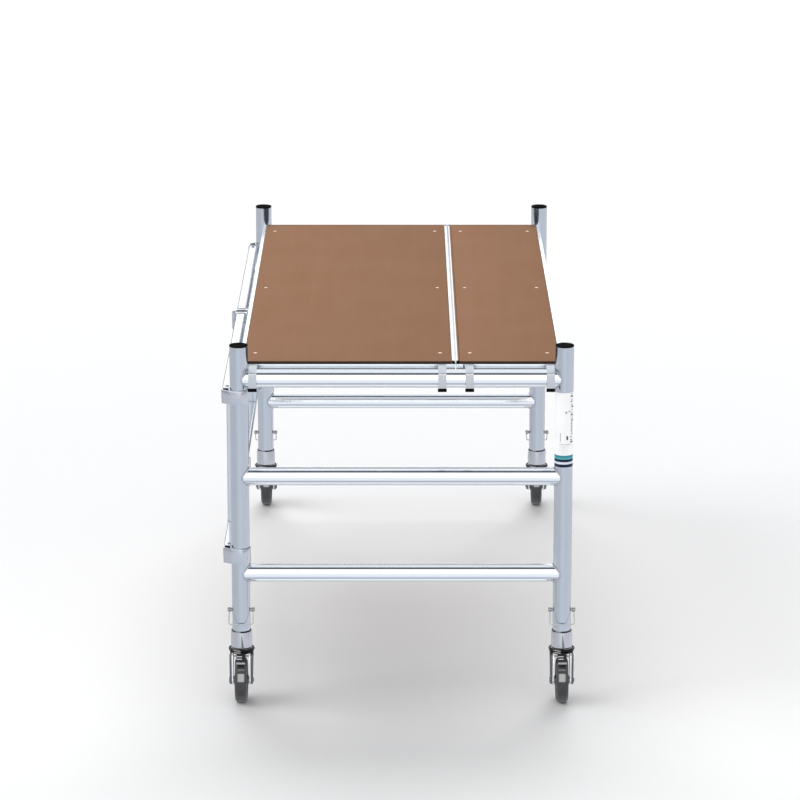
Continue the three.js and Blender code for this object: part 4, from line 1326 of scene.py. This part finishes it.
# Marks on the sticker: start and end angle, bottom and top z
DARK_MARKS = ((-88, -73, 834.4, 836.6), (-69, -52, 835, 836.6), (-80, -76, 830, 836),
              (-58, -54, 836, 840), (-76, -65, 755, 767))
PALE_MARKS = ((-158, -136, 792.2, 793), (-158, -136, 762, 762.8), (-158, -157, 762.8, 792.2),
              (-137, -136, 762.8, 792.2), (-118, -112, 750, 776), (-96, -70, 770, 770.9),
              (-120, -64, 734.6, 735.5), (-120, -80, 728.8, 729.7), (-120, -70, 723, 723.9),
              (-108, -92, 716.5, 717.4))


def build_sticker():
    dice = random.Random(7)
    dark, pale = Shape(), Shape()
    # Column of short lines, uneven in height, length and place
    for i in range(19):
        z = 885.5 - i * 7.7 + dice.uniform(-1, 1)
        extra = dice.choice((6, 10, 16))
        start = -50 + dice.uniform(0, 9)
        dark.merge(patch(start, start + 10 + extra, z, z + dice.choice((1.6, 2.6, 4.2))))
    for mark in DARK_MARKS:
        dark.merge(patch(*mark))
    for i in range(11):
        dark.merge(patch(-121 + i * 7, -117 + i * 7, 741, 743, columns=4))
    for mark in PALE_MARKS:
        pale.merge(patch(*mark))
    band = patch(-205, 25, STICKER_FOOT, STICKER_TOP, radius=25.44, thick=0.12, columns=40,
                 rows=8)
    place = at(*LEGS["front_right"][:2])
    for name, shape, mat in (("band", band, LABEL), ("rules", pale, PALE_INK),
                             ("lines", dark, INK)):
        make(f"sticker_{name}", shape, mat, "front_frame", matrix=place, angle=60)


# ------------------------------------------------------------------ other CAD nodes
def dress_cad_nodes():
    """Gives every CAD node but the deck frames the material of its slot."""
    by_slot = {"aluminium_tube": UPRIGHT, "aluminium_profile": PANEL, "cast_aluminium": CAST,
               "zinc_steel": ZINC, "black_plastic": BLACK, "deck_plywood": FILM,
               "wheel_rubber": TYRE}
    for part in frame["record"]["subparts"]:
        if part["node"].endswith("_deck_frame"):
            continue
        materials = NODES[part["node"]].data.materials
        materials.clear()
        materials.append(by_slot[part["material_slot"]].material)


# ------------------------------------------------------------------ studio
def floor_material():
    """Pale matt floor with painted shade round the scaffold; metal sees the studio colours in its
    place, a painted reflection.
    """
    mat = Material("studio_floor")
    position = mat.node("ShaderNodeNewGeometry").outputs["Position"]
    y = mat.split(position)[1]
    # Painted shade: darker towards the rear and in a band in front, deepening the cast shadow;
    # pale again far away
    near = mat.tint((0.895, 0.895, 0.895), (0.84, 0.843, 0.846), by=y, span=(-1.4, 0.8))
    front = mat.remap(y, span=(-1.9, -1.1), to=(1.0, 0.0))
    near = mat.mix(front, near, (0.845, 0.845, 0.845))
    distance = mat.node("ShaderNodeVectorMath", {0: position}, operation="LENGTH")
    tone = mat.tint(near, (0.893, 0.893, 0.893), by=distance.outputs["Value"], span=(2.2, 6.0))
    mat.surface(Base_Color=tone, Roughness=0.9, Specular_IOR_Level=0.0)
    # Painted reflection: metal sees the studio colours instead of the floor
    away = mat.reversed(mat.node("ShaderNodeNewGeometry").outputs["Incoming"])
    emission = mat.node("ShaderNodeEmission", {"Color": mat.studio_color(away)})
    mat.replace_in_reflections(emission)
    return mat.material


def build_floor():
    half = 60.0
    mesh = bpy.data.meshes.new("studio_floor")
    mesh.from_pydata([(-half, -half, 0), (half, -half, 0), (half, half, 0), (-half, half, 0)],
                     [], [(0, 1, 2, 3)])
    mesh.materials.append(floor_material())
    floor = bpy.data.objects.new("studio_floor", mesh)
    bpy.context.scene.collection.objects.link(floor)


def build_world():
    """White to the camera, studio colours to reflections, soft cool light to the rest."""
    world = bpy.data.worlds.new("studio")
    bpy.context.scene.world = world
    world.use_nodes = True
    world.node_tree.nodes.clear()
    sky = Shader(world.node_tree)

    def background(color, strength):
        inputs = {"Color": color, "Strength": strength}
        return sky.node("ShaderNodeBackground", inputs).outputs[0]

    direction = sky.node("ShaderNodeTexCoord").outputs["Generated"]
    reflected = background(sky.studio_color(direction), strength=1.0)
    ambient = background((0.97, 0.985, 1.0), strength=0.44)
    backdrop = background((1, 1, 1), strength=1.0)
    rays = sky.node("ShaderNodeLightPath").outputs
    lighting = sky.mix_shader(rays["Is Glossy Ray"], ambient, reflected)
    surface = sky.mix_shader(rays["Is Camera Ray"], lighting, backdrop)
    sky.node("ShaderNodeOutputWorld", {"Surface": surface})


def sun(name, azimuth, elevation, angle, energy):
    """Soft distant light; azimuth is from the back (+Y) towards +X. All angles in degrees."""
    turn, rise = math.radians(azimuth), math.radians(elevation)
    light = bpy.data.lights.new(name, "SUN")
    light.energy = energy
    light.angle = math.radians(angle)
    lamp = bpy.data.objects.new(name, light)
    bpy.context.scene.collection.objects.link(lamp)
    heading = Vector((-math.cos(rise) * math.sin(turn), -math.cos(rise) * math.cos(turn),
                      -math.sin(rise)))
    lamp.rotation_mode = "QUATERNION"
    lamp.rotation_quaternion = heading.to_track_quat("-Z", "Y")
    lamp.visible_glossy = False


def build_camera():
    """Long lens in front of the scaffold, tilted a little down."""
    tilt_down = 14.300  # degrees below level
    lens = bpy.data.cameras.new("camera")
    lens.lens = 166.627
    lens.sensor_width = 36.0
    lens.clip_end = 200.0
    camera = bpy.data.objects.new("camera", lens)
    bpy.context.scene.collection.objects.link(camera)
    bpy.context.scene.camera = camera
    camera.location = (0.0076, -10.9029, 3.3944)
    camera.rotation_euler = (math.radians(90 - tilt_down), 0, 0)


build_uprights()
build_rungs()
build_collars()
build_panels()
build_decks()
build_hooks()
build_casters()
build_sticker()
dress_cad_nodes()
build_floor()
build_world()
sun("back_light", azimuth=0, elevation=45, angle=40, energy=2.03)
sun("left_light", azimuth=-90, elevation=35, angle=50, energy=1.20)
sun("front_fill", azimuth=180, elevation=60, angle=60, energy=0.20)
build_camera()

view = bpy.context.scene.view_settings
view.view_transform = "Standard"
view.look = "None"
view.exposure = 0.0
view.gamma = 1.0
